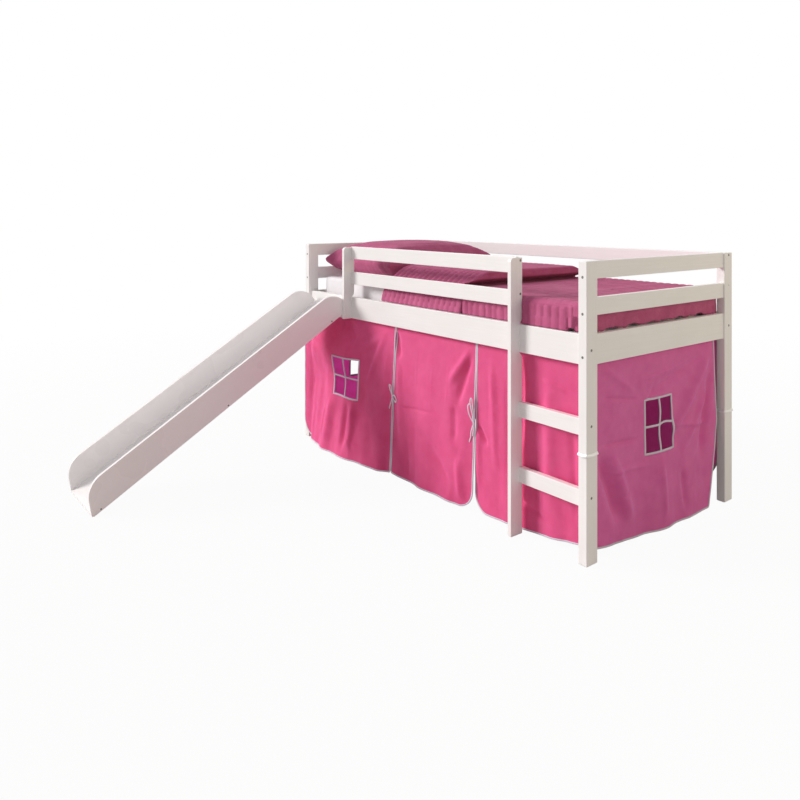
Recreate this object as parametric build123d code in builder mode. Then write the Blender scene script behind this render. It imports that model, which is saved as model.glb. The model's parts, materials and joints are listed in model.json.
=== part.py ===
from build123d import *
import math
import os

# Loft bed with a slide, a short ladder, play curtains and its bedding, in millimetres.
# X runs from the head end to the foot end, Y from the slide to the back, Z up from the floor.
# The origin lies on the floor under the middle of the whole outline.

os.makedirs("parts", exist_ok=True)

# Bed frame
bed_length = 2080.0
bed_width = 986.0
post_x = 40.0
post_y = 60.0
post_round = 2.5
foot_chamfer = 5.0
board_top = 832.0
board_h = 111.0
rail_h = 65.0
rail_gap = 68.0
rail_t = 25.0
rail_round = 2.5
side_setback = 14.0

# Ladder, guard and their uprights
upright_t = 18.0
upright_depth = 62.0
upright_proud = 31.0
upright_drop = 3.0
upright_round = 16.0
neck_rise = 32.0
ladder_clear = 317.5
guard_start = 454.5
guard_rail_t = 18.0
rung_h = 61.0
rung_gap = 197.0

# Base under the mattress
base_drop = 32.0
batten = 25.0
slat_t = 18.0
slat_w = 68.0
slat_count = 14
slat_play = 2.0

# Slide
slide_w = 370.0
slide_angle = 31.8
slide_head_z = 769.0
slide_clear = 0.5
panel_t = 18.0
panel_w = 130.5
panel_r = 103.0
nose_ahead = 23.0
foot_cut = 6.0
chute_t = 14.0
chute_up = 0.6
hanger_h = 46.0
hanger_t = 28.0

# Fasteners
bolt_r = 3.0
bolt_play = 0.3
bolt_head_r = 5.0
bolt_head_t = 4.0
bolt_recess = 0.5
bolt_grip = 38.0
end_bolt_drop = 25.0
side_bolt_rise = 22.0
rung_bolt_rise = 9.0
guard_bolt_rise = 19.0
upright_bolt_drop = 16.0
screw_r = 2.0
screw_head_r = 4.0
screw_len = 45.0
screw_count = 3
screw_tip_inset = 34.0
screw_top_inset = 120.0

# Curtains and what carries them
cloth_t = 2.4
strip_t = 2.0
strip_h = 20.0
strip_up = 6.0
heading_h = 29.0
heading_wave = 0.2
hem_z = 8.0
panel_slit = 7.0
seam_shares = [0.4, 0.7]
front_flare = 110.0
end_flare = 35.0
end_open = 31.0
cloth_corner = 10.0
seam_corner = 77.0
post_corner = 60.0
back_corner = 120.0
right_lift = 30.0
foot_lift = 30.0
foot_draw_in = 83.0
foot_draw_z = 366.0
window_h = 204.0
front_window_w = 214.0
end_window_w = 172.0
window_bar = 13.0
window_z = 412.0
front_window_x = 415.0
foot_window_y = 414.0
head_window_y = 493.0
tie_t = 1.5
tie_h = 10.0
tie_z = 396.0

# Mattress and bedding
mattress_head_gap = 20.0
mattress_side_gap = 29.0
mattress_t = 115.0
mattress_corner = 75.0
mattress_edge = 18.0
mattress_foot_gap = 30.0
rest_gap = 0.3
spread_t = 13.0
spread_top_t = 26.0
spread_l = 696.0
spread_side = 8.0
spread_slit = 2.5
spread_lift = 1.0
spread_foot_gap = 1.5
spread_corner = 80.0
spread_shoulder = 38.0
spread_tuck = 100.0
spread_foot_hem = 846.0
scallop = 6.0
scallop_count = 6
channel_depth = 3.5
channel_count = 16
guarded_channels = 10
open_channels = 6
duvet_pillow_gap = 14.5
duvet_slit = 12.0
duvet_t = 91.0
duvet_side = 19.0
duvet_run = 207.0
duvet_flap = 27.0
duvet_flap_round = 22.0
duvet_nose = 34.0
duvet_undercut = 88.0
duvet_head_round = 40.0
pillow_x = 672.0
pillow_t = 188.0
pillow_draw = 26.0
pillow_head_gap = 3.0
pillow_front_gap = 30.0
pillow_back_gap = 76.0

# Places worked out from the sizes above
slope = math.tan(math.radians(slide_angle))
slide_run = slide_head_z / slope
nose_reach = slide_run + nose_ahead - side_setback
y_front = (nose_reach - bed_width - tie_t) / 2
y_back = y_front + bed_width
x_head = -bed_length / 2
x_foot = bed_length / 2
x_in_head = x_head + post_x
x_in_foot = x_foot - post_x
y_in_front = y_front + post_y
y_in_back = y_back - post_y
board_bottom = board_top - board_h
middle_bottom = board_top + rail_gap
top_bottom = middle_bottom + rail_h + rail_gap
post_h = top_bottom + rail_h
side_face = y_front + side_setback
side_inner = side_face + rail_t
back_face = y_back - side_setback
back_inner = back_face - rail_t
end_setback = (post_x - rail_t) / 2
head_inner = x_head + end_setback + rail_t
foot_inner = x_foot - end_setback - rail_t
ladder_right = x_in_foot - ladder_clear
ladder_left = ladder_right - upright_t
guard_left = x_head + guard_start
upright_front = y_front - upright_proud
upright_back = upright_front + upright_depth
rung_tops = [board_bottom - rung_gap, board_bottom - rung_gap * 2 - rung_h]
slat_top = board_top - base_drop
mattress_top = slat_top + rest_gap + mattress_t
heading_top = board_bottom + heading_h
bore_r = bolt_r + bolt_play
seat_r = bolt_head_r + bolt_play
seat_depth = bolt_recess + bolt_head_t

toward_head = (-1, 0, 0)
toward_foot = (1, 0, 0)
toward_front = (0, -1, 0)
toward_back = (0, 1, 0)


def save(piece, node):
    """Label a finished piece and write it to its own file."""
    piece.part.label = node
    export_step(piece.part, f"parts/{node}.step")


def bolt_seats(x, y, rows, outward):
    """Planes on an outer face where bolt heads sit, one for each height."""
    return [Plane(origin=(x, y, row), z_dir=outward) for row in rows]


def plank(xs, ys, zs, along, rounding, seats=(), inset=0):
    """A straight board or rail between pairs of faces, its long edges eased, bored where bolts enter it.

    Seats are the bolts' planes and inset is how far inside them the bored face lies.
    """
    with BuildPart() as piece:
        with BuildSketch(Plane.XY.offset(zs[0])):
            with Locations(((xs[0] + xs[1]) / 2, (ys[0] + ys[1]) / 2)):
                Rectangle(xs[1] - xs[0], ys[1] - ys[0])
        extrude(amount=zs[1] - zs[0])
        fillet(piece.edges().filter_by(along), rounding)
        for seat in seats:
            with Locations(seat.offset(-inset)):
                Hole(bore_r, bolt_grip)
    return piece


def bolts(node, seats, reach):
    """Round-headed bolts sunk just below the faces that their seats lie on."""
    with BuildPart() as piece:
        with Locations(*[seat.offset(-bolt_recess) for seat in seats]):
            Cylinder(bolt_head_r, bolt_head_t, align=(Align.CENTER, Align.CENTER, Align.MAX))
            Cylinder(bolt_r, reach - bolt_recess, align=(Align.CENTER, Align.CENTER, Align.MAX))
    save(piece, node)


# Bolt seats: end rails are held through the posts along Y, side boards and rungs along X.
rail_rows = [board_bottom + board_h / 2, middle_bottom + rail_h / 2, top_bottom + rail_h / 2]
end_rows = [row - end_bolt_drop for row in rail_rows]
rung_rows = [top - rung_h / 2 + rung_bolt_rise for top in rung_tops]
back_row = rail_rows[2] + side_bolt_rise
spare_row = rail_rows[1] + side_bolt_rise
front_line = side_face + rail_t / 2
back_line = back_face - rail_t / 2
head_line = x_head + post_x / 2
foot_line = x_foot - post_x / 2

end_seats = {}
for x_name, x_line in (("left", head_line), ("right", foot_line)):
    end_seats["front", x_name] = bolt_seats(x_line, y_front, end_rows, toward_front)
    end_seats["back", x_name] = bolt_seats(x_line, y_back, end_rows, toward_back)

side_seats = {}
for x_name, x_outer, outward in (("left", x_head, toward_head), ("right", x_foot, toward_foot)):
    side_seats["front", x_name] = bolt_seats(x_outer, front_line, rail_rows[:1], outward)
    side_seats["back", x_name] = bolt_seats(x_outer, back_line, [rail_rows[0], back_row], outward)
rung_seats = bolt_seats(x_foot, front_line, rung_rows, toward_foot)
spare_seats = {"left": bolt_seats(x_head, back_line, [spare_row], toward_head),
               "right": bolt_seats(x_foot, back_line, [spare_row], toward_foot)}

# Four posts, square in plan, standing on chamfered feet.
for y_name, y_low in (("front", y_front), ("back", y_in_back)):
    for x_name, x_low in (("left", x_head), ("right", x_in_foot)):
        with BuildPart() as post:
            with BuildSketch():
                with Locations((x_low + post_x / 2, y_low + post_y / 2)):
                    Rectangle(post_x, post_y)
            extrude(amount=post_h)
            chamfer(post.faces().sort_by(Axis.Z)[0].edges(), foot_chamfer)
            fillet(post.edges().filter_by(Axis.Z), post_round)
            fillet(post.faces().sort_by(Axis.Z)[-1].edges(), post_round)
            sunk = end_seats[y_name, x_name] + side_seats[y_name, x_name]
            if (y_name, x_name) == ("front", "right"):
                sunk = sunk + rung_seats
            with Locations(*sunk):
                CounterBoreHole(bore_r, seat_r, seat_depth, post_y)
            if y_name == "back":
                with Locations(*spare_seats[x_name]):
                    Hole(bore_r, post_x)
        save(post, f"post_{y_name}_{x_name}")

# End rails between the posts, three at each end, bored at both tips.
rail_levels = [("board", board_bottom, board_top),
               ("middle_rail", middle_bottom, middle_bottom + rail_h),
               ("top_rail", top_bottom, post_h)]
for end, x_name, x_outer in (("head", "left", x_head + end_setback), ("foot", "right", foot_inner)):
    for number, (level, low, high) in enumerate(rail_levels):
        tips = [end_seats["front", x_name][number], end_seats["back", x_name][number]]
        rail = plank((x_outer, x_outer + rail_t), (y_in_front, y_in_back), (low, high),
                     Axis.Y, rail_round, tips, post_y)
        save(rail, f"{end}_{level}")

# Side boards, and the single guard rail at the back.
hanger_row = board_bottom + hanger_h / 2
hanger_xs = [x_head + guard_start - slide_clear - slide_w / 2 + side * slide_w / 4 for side in (-1, 1)]
hanger_seats = [Plane(origin=(x, side_face - hanger_t, hanger_row), z_dir=toward_front) for x in hanger_xs]
upright_row = board_top - upright_bolt_drop
upright_xs = [guard_left + upright_t / 2, ladder_left + upright_t / 2]
upright_seats = [Plane(origin=(x, side_inner, upright_row), z_dir=toward_back) for x in upright_xs]

tips = side_seats["front", "left"] + side_seats["front", "right"]
with BuildPart() as front_board:
    add(plank((x_in_head, x_in_foot), (side_face, side_inner), (board_bottom, board_top),
              Axis.X, rail_round, tips, post_x).part)
    with Locations(*upright_seats):
        CounterBoreHole(bore_r, seat_r, seat_depth, rail_t)
    with Locations(*[seat.offset(-hanger_t) for seat in hanger_seats]):
        Hole(bore_r, rail_t - bolt_head_t)
save(front_board, "side_board_front")

tips = [side_seats["back", "left"][0], side_seats["back", "right"][0]]
back_board = plank((x_in_head, x_in_foot), (back_inner, back_face), (board_bottom, board_top),
                   Axis.X, rail_round, tips, post_x)
save(back_board, "side_board_back")

tips = [side_seats["back", "left"][1], side_seats["back", "right"][1]]
back_rail = plank((x_in_head, x_in_foot), (back_inner, back_face), (top_bottom, post_h),
                  Axis.X, rail_round, tips, post_x)
save(back_rail, "back_guard_rail")

# Two uprights: one beside the slide, one that runs to the floor and carries the rungs.
# Both are notched over the side board, and the long one over its rungs too.
# Their backs curve in to the board above it, and the long one's below it as well.
guard_rows = [row + guard_bolt_rise for row in rail_rows[1:]]
rail_line = upright_back - guard_rail_t / 2
guard_seats = {"guard_upright": bolt_seats(guard_left, rail_line, guard_rows, toward_head),
               "ladder_upright": bolt_seats(ladder_right, rail_line, guard_rows, toward_foot)}
for node, x_low, foot in (("guard_upright", guard_left, board_bottom), ("ladder_upright", ladder_left, 0)):
    notches = [(board_bottom, board_top)]
    necks = [(board_top, neck_rise)]
    if foot == 0:
        notches = notches + [(top - rung_h, top) for top in rung_tops]
        necks = necks + [(board_bottom, -neck_rise)]
    with BuildPart() as upright:
        with BuildSketch(Plane.YZ.offset(x_low)) as side:
            upright_h = post_h - upright_drop - foot
            with Locations((upright_front + upright_depth / 2, foot + upright_h / 2)):
                Rectangle(upright_depth, upright_h)
            fillet(side.vertices().group_by(Axis.Y)[-1].sort_by(Axis.X)[0], upright_round)
            for low, high in notches:
                with Locations((side_face + upright_depth / 2, (low + high) / 2)):
                    Rectangle(upright_depth, high - low, mode=Mode.SUBTRACT)
            for level, rise in necks:
                with BuildLine():
                    Polyline((side_face, level), (upright_back, level), (upright_back, level + rise))
                    TangentArc((upright_back, level + rise), (side_face, level), tangent=(0, -rise))
                make_face(mode=Mode.SUBTRACT)
        extrude(amount=upright_t)
        with Locations(*guard_seats[node]):
            CounterBoreHole(bore_r, seat_r, seat_depth, upright_t)
        with Locations(Plane(origin=(x_low + upright_t / 2, side_face, upright_row), z_dir=toward_back)):
            Hole(bore_r, bolt_grip - rail_t)
    save(upright, node)

# Guard rails between the uprights, flush with their backs and bolted through them.
for number, (node, low) in enumerate((("guard_rail_middle", middle_bottom), ("guard_rail_top", top_bottom))):
    tips = [seats[number] for seats in guard_seats.values()]
    rail = plank((guard_left + upright_t, ladder_left), (upright_back - guard_rail_t, upright_back),
                 (low, low + rail_h), Axis.X, rail_round, tips, upright_t)
    save(rail, node)

# Rungs lie in the long upright's notches and are bolted through the front right post.
for node, top, seat in (("rung_upper", rung_tops[0], rung_seats[0]),
                        ("rung_lower", rung_tops[1], rung_seats[1])):
    rung = plank((ladder_left, x_in_foot), (side_face, side_inner), (top - rung_h, top),
                 Axis.X, rail_round, [seat], post_x)
    save(rung, node)

# Base: a batten on each side board carries a row of slats.
batten_top = slat_top - slat_t
for node, y_low in (("slat_batten_front", side_inner), ("slat_batten_back", back_inner - batten)):
    strip = plank((x_in_head, x_in_foot), (y_low, y_low + batten),
                  (batten_top - batten, batten_top), Axis.X, rail_round)
    save(strip, node)

with BuildPart() as slats:
    slat_l = back_inner - side_inner - slat_play * 2
    slat_pitch = (x_in_foot - x_in_head) / slat_count
    with BuildSketch(Plane.XY.offset(batten_top)):
        with Locations(((x_in_head + x_in_foot) / 2, (side_inner + back_inner) / 2)):
            with GridLocations(slat_pitch, slat_l, slat_count, 1):
                Rectangle(slat_w, slat_l)
    extrude(amount=slat_t)
save(slats, "slats")

# Slide. A point on it is given by its run up the slope from the foot on the floor
# and by its rise square to the slope.
lean = math.radians(slide_angle)
y_tip = side_face - slide_run
slide_right = guard_left - slide_clear
slide_left = slide_right - slide_w


def on_slide(run, rise):
    """The point in Y and Z at a run up the slope and a rise square to it."""
    y = y_tip + run * math.cos(lean) - rise * math.sin(lean)
    return (y, run * math.sin(lean) + rise * math.cos(lean))


def run_at(y, rise):
    """The run at which a line of constant rise crosses a place along Y."""
    return (y - y_tip + rise * math.sin(lean)) / math.cos(lean)


arc_rise = panel_w - panel_r
nose_run = run_at(y_tip - nose_ahead + panel_r, arc_rise)
head_run = run_at(side_face - panel_r, arc_rise)
nose_centre = Vector(*on_slide(nose_run, arc_rise))
head_centre = Vector(*on_slide(head_run, arc_rise))
toe_run = -foot_cut / math.sin(lean)
toe = Vector(*on_slide(toe_run, 0))

# The nose line leaves the nose arc as a tangent and ends at the toe, just below the floor.
toe_away = toe - nose_centre
toe_angle = math.degrees(math.atan2(toe_away.Y, toe_away.X))
touch_angle = toe_angle - math.degrees(math.acos(panel_r / toe_away.length)) + 360
touch = nose_centre + Vector(panel_r, 0).rotate(Axis.Z, touch_angle)
touch_rise = (touch.Y - toe.Y) * math.cos(lean) - (touch.X - toe.X) * math.sin(lean)
head_angle = slide_angle - math.degrees(math.asin(arc_rise / panel_r))
head_low_run = head_run + math.sqrt(panel_r ** 2 - arc_rise ** 2)


def on_nose(rise):
    """The point of the nose line that lies a given rise above the lower edge."""
    return toe + (touch - toe) * (rise / touch_rise)


screw_rise = chute_up + chute_t / 2
screw_span = run_at(side_face, 0) - screw_top_inset - screw_tip_inset
screw_runs = [screw_tip_inset + screw_span * i / (screw_count - 1) for i in range(screw_count)]
screw_seats = {}
for hand, x_low, x_outer, outward in (("left", slide_left, slide_left, toward_head),
                                      ("right", slide_right - panel_t, slide_right, toward_foot)):
    spots = [on_slide(run, screw_rise) for run in screw_runs]
    screw_seats[hand] = [Plane(origin=(x_outer, y, z), z_dir=outward) for y, z in spots]
    with BuildPart() as panel:
        with BuildSketch(Plane.YZ.offset(x_low)):
            with BuildLine():
                Line(toe, on_slide(head_low_run, 0))
                CenterArc(head_centre, panel_r, head_angle, slide_angle + 90 - head_angle)
                Line(on_slide(head_run, panel_w), on_slide(nose_run, panel_w))
                CenterArc(nose_centre, panel_r, slide_angle + 90, touch_angle - slide_angle - 90)
                Line(touch, toe)
            make_face()
        extrude(amount=panel_t)
        split(bisect_by=Plane.XY, keep=Keep.TOP)
        with Locations(*screw_seats[hand]):
            CounterSinkHole(screw_r, screw_head_r, panel_t)
    save(panel, f"slide_panel_{hand}")

chute_low = slide_head_z + chute_up / math.cos(lean)
chute_high = slide_head_z + (chute_up + chute_t) / math.cos(lean)
with BuildPart() as chute:
    with BuildSketch(Plane.YZ.offset(slide_left + panel_t)):
        with BuildLine():
            Polyline(on_nose(chute_up), (side_face, chute_low), (side_face, chute_high),
                     on_nose(chute_up + chute_t), close=True)
        make_face()
    extrude(amount=slide_w - panel_t * 2)
    split(bisect_by=Plane.XY, keep=Keep.TOP)
    with Locations(*[seat.offset(-panel_t) for seat in screw_seats["left"] + screw_seats["right"]]):
        Hole(screw_r, screw_len - panel_t)
save(chute, "slide_bed")

# The hanger batten under the top of the slide is bolted to the front side board.
hanger_bottom = board_bottom + chute_up
with BuildPart() as hanger:
    with BuildSketch(Plane.YZ.offset(slide_left + panel_t)):
        with BuildLine():
            hanger_front = side_face - hanger_t
            Polyline((hanger_front, hanger_bottom), (side_face, hanger_bottom), (side_face, chute_low),
                     (hanger_front, chute_low - hanger_t * slope), close=True)
        make_face()
    extrude(amount=slide_w - panel_t * 2)
    with Locations(*hanger_seats):
        CounterBoreHole(bore_r, seat_r, seat_depth, hanger_t)
save(hanger, "slide_hanger")

# Fasteners
bolts("end_bolts", [seat for seats in end_seats.values() for seat in seats], post_y + bolt_grip)
bolts("side_bolts", [seat for seats in side_seats.values() for seat in seats], post_x + bolt_grip)
bolts("rung_bolts", rung_seats, post_x + bolt_grip)
bolts("upright_bolts", upright_seats, bolt_grip)
bolts("guard_bolts", [seat for seats in guard_seats.values() for seat in seats], upright_t + bolt_grip)
bolts("slide_hanger_bolts", hanger_seats, hanger_t + rail_t - bolt_head_t)

with BuildPart() as screws:
    with Locations(*(screw_seats["left"] + screw_seats["right"])):
        Cylinder(screw_r, screw_len, align=(Align.CENTER, Align.CENTER, Align.MAX))
        Cone(screw_r, screw_head_r, screw_head_r - screw_r, align=(Align.CENTER, Align.CENTER, Align.MAX))
save(screws, "slide_screws")

# Hook strips on the inner faces of the four low boards carry the curtains.
post_clear = tie_t + rest_gap
x_cloth_left = x_in_head + post_clear
x_cloth_right = x_in_foot - post_clear
y_cloth_front = y_in_front + post_clear
y_cloth_back = y_in_back - end_open
strip_z = (board_bottom + strip_up, board_bottom + strip_up + strip_h)
for end, xs, ys in (("front", (x_cloth_left, x_cloth_right), (side_inner, side_inner + strip_t)),
                    ("back", (x_cloth_left, x_cloth_right), (back_inner - strip_t, back_inner)),
                    ("head", (head_inner, head_inner + strip_t), (y_cloth_front, y_cloth_back)),
                    ("foot", (foot_inner - strip_t, foot_inner), (y_cloth_front, y_cloth_back))):
    strip = plank(xs, ys, strip_z, Axis.Z, strip_t / 4)
    save(strip, f"hook_strip_{end}")

# Each wall of cloth has a plane on the floor under the outer face of its heading:
# its x runs to the right as seen from outside and its y runs inwards.
heading_off = strip_t + rest_gap
front_wall = Plane((x_cloth_left, side_inner + heading_off, 0), x_dir=toward_foot, z_dir=(0, 0, 1))
foot_wall = Plane((foot_inner - heading_off, y_cloth_front, 0), x_dir=toward_back, z_dir=(0, 0, 1))
back_wall = Plane((x_cloth_right, back_inner - heading_off, 0), x_dir=toward_head, z_dir=(0, 0, 1))
head_wall = Plane((head_inner + heading_off, y_cloth_back, 0), x_dir=toward_front, z_dir=(0, 0, 1))
front_span = x_cloth_right - x_cloth_left
end_span = y_cloth_back - y_cloth_front

# Folds at the hem: share of the panel's length, share of the wall's flare.
left_fold_shares = [(0, 0.36), (0.11, 0.67), (0.2, 0.76), (0.33, 1.0), (0.45, 0.93), (0.55, 1.0),
                    (0.75, 0.76), (0.9, 0.69), (1, 0.34)]
middle_fold_shares = [(0, 0.29), (0.14, 0.36), (0.28, 0.33), (0.44, 0.48), (0.6, 0.4), (0.75, 0.44),
                      (0.86, 0.36), (1, 0.23)]
right_fold_shares = [(0, 0.1), (0.16, 0.16), (0.28, 0.1), (0.42, -0.01), (0.55, -0.09), (0.7, -0.05),
                     (0.85, -0.2), (1, -0.27)]
foot_fold_shares = [(0, 0.3), (0.08, 0.45), (0.2, 0.3), (0.33, 0.17), (0.53, 1.0), (0.62, 0.8),
                    (0.72, 0.97), (0.85, 0.75), (1, 0.95)]
head_fold_shares = [(1 - along, out) for along, out in reversed(foot_fold_shares)]
back_fold_shares = [(0, 0.1), (0.07, 0.4), (0.16, 0.05), (0.27, 0.5), (0.38, 0.15), (0.5, 0.45),
                    (0.6, 0.1), (0.72, 0.5), (0.83, 0.12), (0.93, 0.4), (1, 0.1)]


def folds(points):
    """A soft wave through the points, running along the wall at each of them."""
    for (x0, y0), (x1, y1) in zip(points, points[1:]):
        middle = ((x0 + x1) / 2, (y0 + y1) / 2)
        TangentArc((x0, y0), middle, tangent=(1, 0))
        TangentArc((x1, y1), middle, tangent=(-1, 0))


def curtain(wall, start, length, fold_shares, flare, corners, lifts=(0, 0), draw_in=0, window=()):
    """A hanging panel, flat at its heading and spreading into its folds down to the hem.

    Corners and lifts are the rounding and the rise of the hem at its left and right end,
    draw_in is how far the right end leans in at the bottom, and window is the place along
    the panel and the width of a window of four panes. The folds are made from the floor up
    to just above the heading, and the outline trims them.
    """
    above = heading_top + cloth_t
    with BuildPart() as piece:
        for level, reach in ((0, flare), (board_bottom, heading_wave), (above, heading_wave)):
            outer = [(start + length * along, -reach * out) for along, out in fold_shares]
            inner = [(x, y + cloth_t) for x, y in outer]
            with BuildSketch(wall.offset(level)):
                with BuildLine():
                    folds(outer)
                    Line(outer[-1], inner[-1])
                    folds(inner)
                    Line(inner[0], outer[0])
                make_face()
        loft(ruled=True)
        upright_wall = Plane(wall.origin, x_dir=wall.x_dir, z_dir=-wall.y_dir)
        left_edge, right_edge = start - cloth_t, start + length + cloth_t
        low_left = (left_edge, hem_z + lifts[0])
        low_right = (right_edge - draw_in, hem_z + lifts[1])
        with BuildSketch(upright_wall) as outline:
            with BuildLine():
                Polyline(low_left, (start + length / 3, hem_z), (start + length / 2, hem_z), low_right,
                         (right_edge, foot_draw_z), (right_edge, heading_top),
                         (left_edge, heading_top), close=True)
            make_face()
            fillet(outline.vertices().sort_by_distance(low_left)[0], corners[0])
            fillet(outline.vertices().sort_by_distance(low_right)[0], corners[1])
            if window:
                place, width = window
                with Locations((place, window_z)):
                    with GridLocations((width + window_bar) / 2, (window_h + window_bar) / 2, 2, 2):
                        Rectangle((width - window_bar) / 2, (window_h - window_bar) / 2, mode=Mode.SUBTRACT)
        extrude(amount=front_flare * 2, both=True, mode=Mode.INTERSECT)
    return piece


seams = [front_span * share for share in seam_shares]
left_l = seams[0] - panel_slit / 2
middle_l = seams[1] - seams[0] - panel_slit
right_l = front_span - seams[1] - panel_slit / 2

# The left panel turns forward along the post as far as its front edge.
left_panel = curtain(front_wall, 0, left_l, left_fold_shares, front_flare, (post_corner, cloth_corner),
                     window=(front_window_x, front_window_w))
with BuildPart() as left_curtain:
    add(left_panel.part)
    with BuildSketch(Plane.YZ.offset(x_cloth_left)) as flap:
        with BuildLine():
            flap_low = hem_z + post_corner
            flap_y = y_front + cloth_t
            Polyline((flap_y, flap_low), (side_inner + heading_off, flap_low),
                     (side_inner + heading_off, board_bottom - rest_gap), (flap_y, board_bottom - rest_gap),
                     close=True)
        make_face()
        fillet(flap.vertices().sort_by_distance((flap_y, flap_low))[0], cloth_corner)
    extrude(amount=cloth_t)
save(left_curtain, "curtain_front_left")

middle_panel = curtain(front_wall, seams[0] + panel_slit / 2, middle_l, middle_fold_shares, front_flare,
                       (cloth_corner, seam_corner))
save(middle_panel, "curtain_front_middle")

right_panel = curtain(front_wall, seams[1] + panel_slit / 2, right_l, right_fold_shares, front_flare,
                      (seam_corner, cloth_corner), lifts=(0, right_lift))
save(right_panel, "curtain_front_right")

foot_panel = curtain(foot_wall, 0, end_span, foot_fold_shares, end_flare, (cloth_corner, cloth_corner),
                     lifts=(foot_lift, 0), draw_in=foot_draw_in, window=(foot_window_y, end_window_w))
save(foot_panel, "curtain_foot_end")

head_panel = curtain(head_wall, 0, end_span, head_fold_shares, end_flare, (cloth_corner, cloth_corner),
                     window=(head_window_y, end_window_w))
save(head_panel, "curtain_head_end")

back_panel = curtain(back_wall, 0, front_span, back_fold_shares, end_flare, (back_corner, back_corner))
save(back_panel, "curtain_back")

# A band of tape ties the cloth round each post.
for y_name, y_low in (("front", y_front), ("back", y_in_back)):
    for x_name, x_low in (("left", x_head), ("right", x_in_foot)):
        with BuildPart() as tie:
            with BuildSketch(Plane.XY.offset(tie_z)):
                with Locations((x_low + post_x / 2, y_low + post_y / 2)):
                    RectangleRounded(post_x + tie_t * 2, post_y + tie_t * 2, post_round + tie_t)
                    RectangleRounded(post_x, post_y, post_round, mode=Mode.SUBTRACT)
            extrude(amount=tie_h)
        save(tie, f"curtain_tie_{y_name}_{x_name}")

# Mattress with rounded corners and softened edges.
mattress_right = x_in_foot - mattress_foot_gap
mattress_l = mattress_right - x_in_head - mattress_head_gap
mattress_w = back_inner - side_inner - mattress_side_gap * 2
y_middle = (side_inner + back_inner) / 2
with BuildPart() as mattress:
    with BuildSketch(Plane.XY.offset(slat_top + rest_gap)):
        with Locations((mattress_right - mattress_l / 2, y_middle)):
            RectangleRounded(mattress_l, mattress_w, mattress_corner)
    extrude(amount=mattress_t)
    fillet(mattress.edges().group_by(Axis.Z)[-1], mattress_edge)
    fillet(mattress.edges().group_by(Axis.Z)[0], mattress_edge)
save(mattress, "mattress")
duvet_rest = mattress_top + rest_gap


def swells(start, end, count, rise):
    """Equal arcs in a row between two points, each swelling to the left of the way."""
    step = (Vector(*end) - Vector(*start)) * (1 / count)
    swell = step.normalized().rotate(Axis.Z, 90) * rise
    for number in range(count):
        low = Vector(*start) + step * number
        ThreePointArc(low, low + step * 0.5 + swell, low + step)


# Bedspread over the foot half: channels run across it and down its sides to the side boards.
# Behind the guard rails it hangs inside them, and beyond the ladder it lies over the board's top.
spread_right = foot_inner - spread_foot_gap
spread_left = spread_right - spread_l
spread_step = ladder_right + spread_slit
spread_low = board_top + spread_lift
spread_high = mattress_top + spread_top_t
spread_far = back_face - spread_side
rib_end = spread_right - spread_corner


def drape(x_low, x_high, near, count, corner):
    """A ribbed cover between two places along X, open below, from its near side to the far side.

    A corner radius above zero turns it down over the foot end of the mattress.
    """
    ribbed = x_high - corner
    turn = min(corner, spread_shoulder)
    with BuildPart() as cover:
        with BuildSketch(Plane.XZ.offset(-spread_far)):
            with BuildLine():
                Line((x_low, spread_low), (x_low, spread_high))
                swells((x_low, spread_high), (ribbed, spread_high), count, channel_depth)
                if corner:
                    Line((ribbed, spread_high), (x_high - turn, spread_high))
                    TangentArc((x_high - turn, spread_high), (x_high, spread_high - turn), tangent=(1, 0))
                Polyline((x_high, spread_high - turn), (x_high, spread_low), (x_low, spread_low))
            make_face()
        extrude(amount=spread_far - near)
        with BuildSketch(Plane.XY.offset(spread_low)):
            with BuildLine():
                low, high = near + channel_depth, spread_far - channel_depth
                Line((x_low, low), (x_low, high))
                swells((x_low, high), (ribbed, high), count, channel_depth)
                if corner:
                    TangentArc((ribbed, high), (x_high, high - corner), tangent=(1, 0))
                    TangentArc((ribbed, low), (x_high, low + corner), tangent=(1, 0))
                Line((x_high, high - corner), (x_high, low + corner))
                swells((ribbed, low), (x_low, low), count, channel_depth)
            make_face()
        extrude(amount=spread_high, mode=Mode.INTERSECT)
        with BuildSketch(Plane.YZ.offset(x_low)) as end_on:
            with Locations(((near + spread_far) / 2, spread_high + channel_depth - spread_shoulder)):
                Rectangle(spread_far - near, spread_shoulder * 2)
            fillet(end_on.vertices().group_by(Axis.Y)[-1], spread_shoulder)
            with Locations(((near + spread_far) / 2, (spread_high + spread_low) / 2 - spread_shoulder)):
                Rectangle(spread_far - near, spread_high - spread_low)
        extrude(amount=x_high - x_low, mode=Mode.INTERSECT)
        with BuildSketch(Plane.XY.offset(duvet_rest)) as hollow:
            inner_end = x_high - (spread_t if corner else 0)
            with Locations(((x_low + inner_end) / 2, (near + spread_far) / 2)):
                Rectangle(inner_end - x_low, spread_far - near - spread_t * 2)
            if corner:
                fillet(hollow.vertices().group_by(Axis.X)[-1], corner - spread_t)
        extrude(amount=-mattress_t, mode=Mode.SUBTRACT)
    return cover


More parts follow.
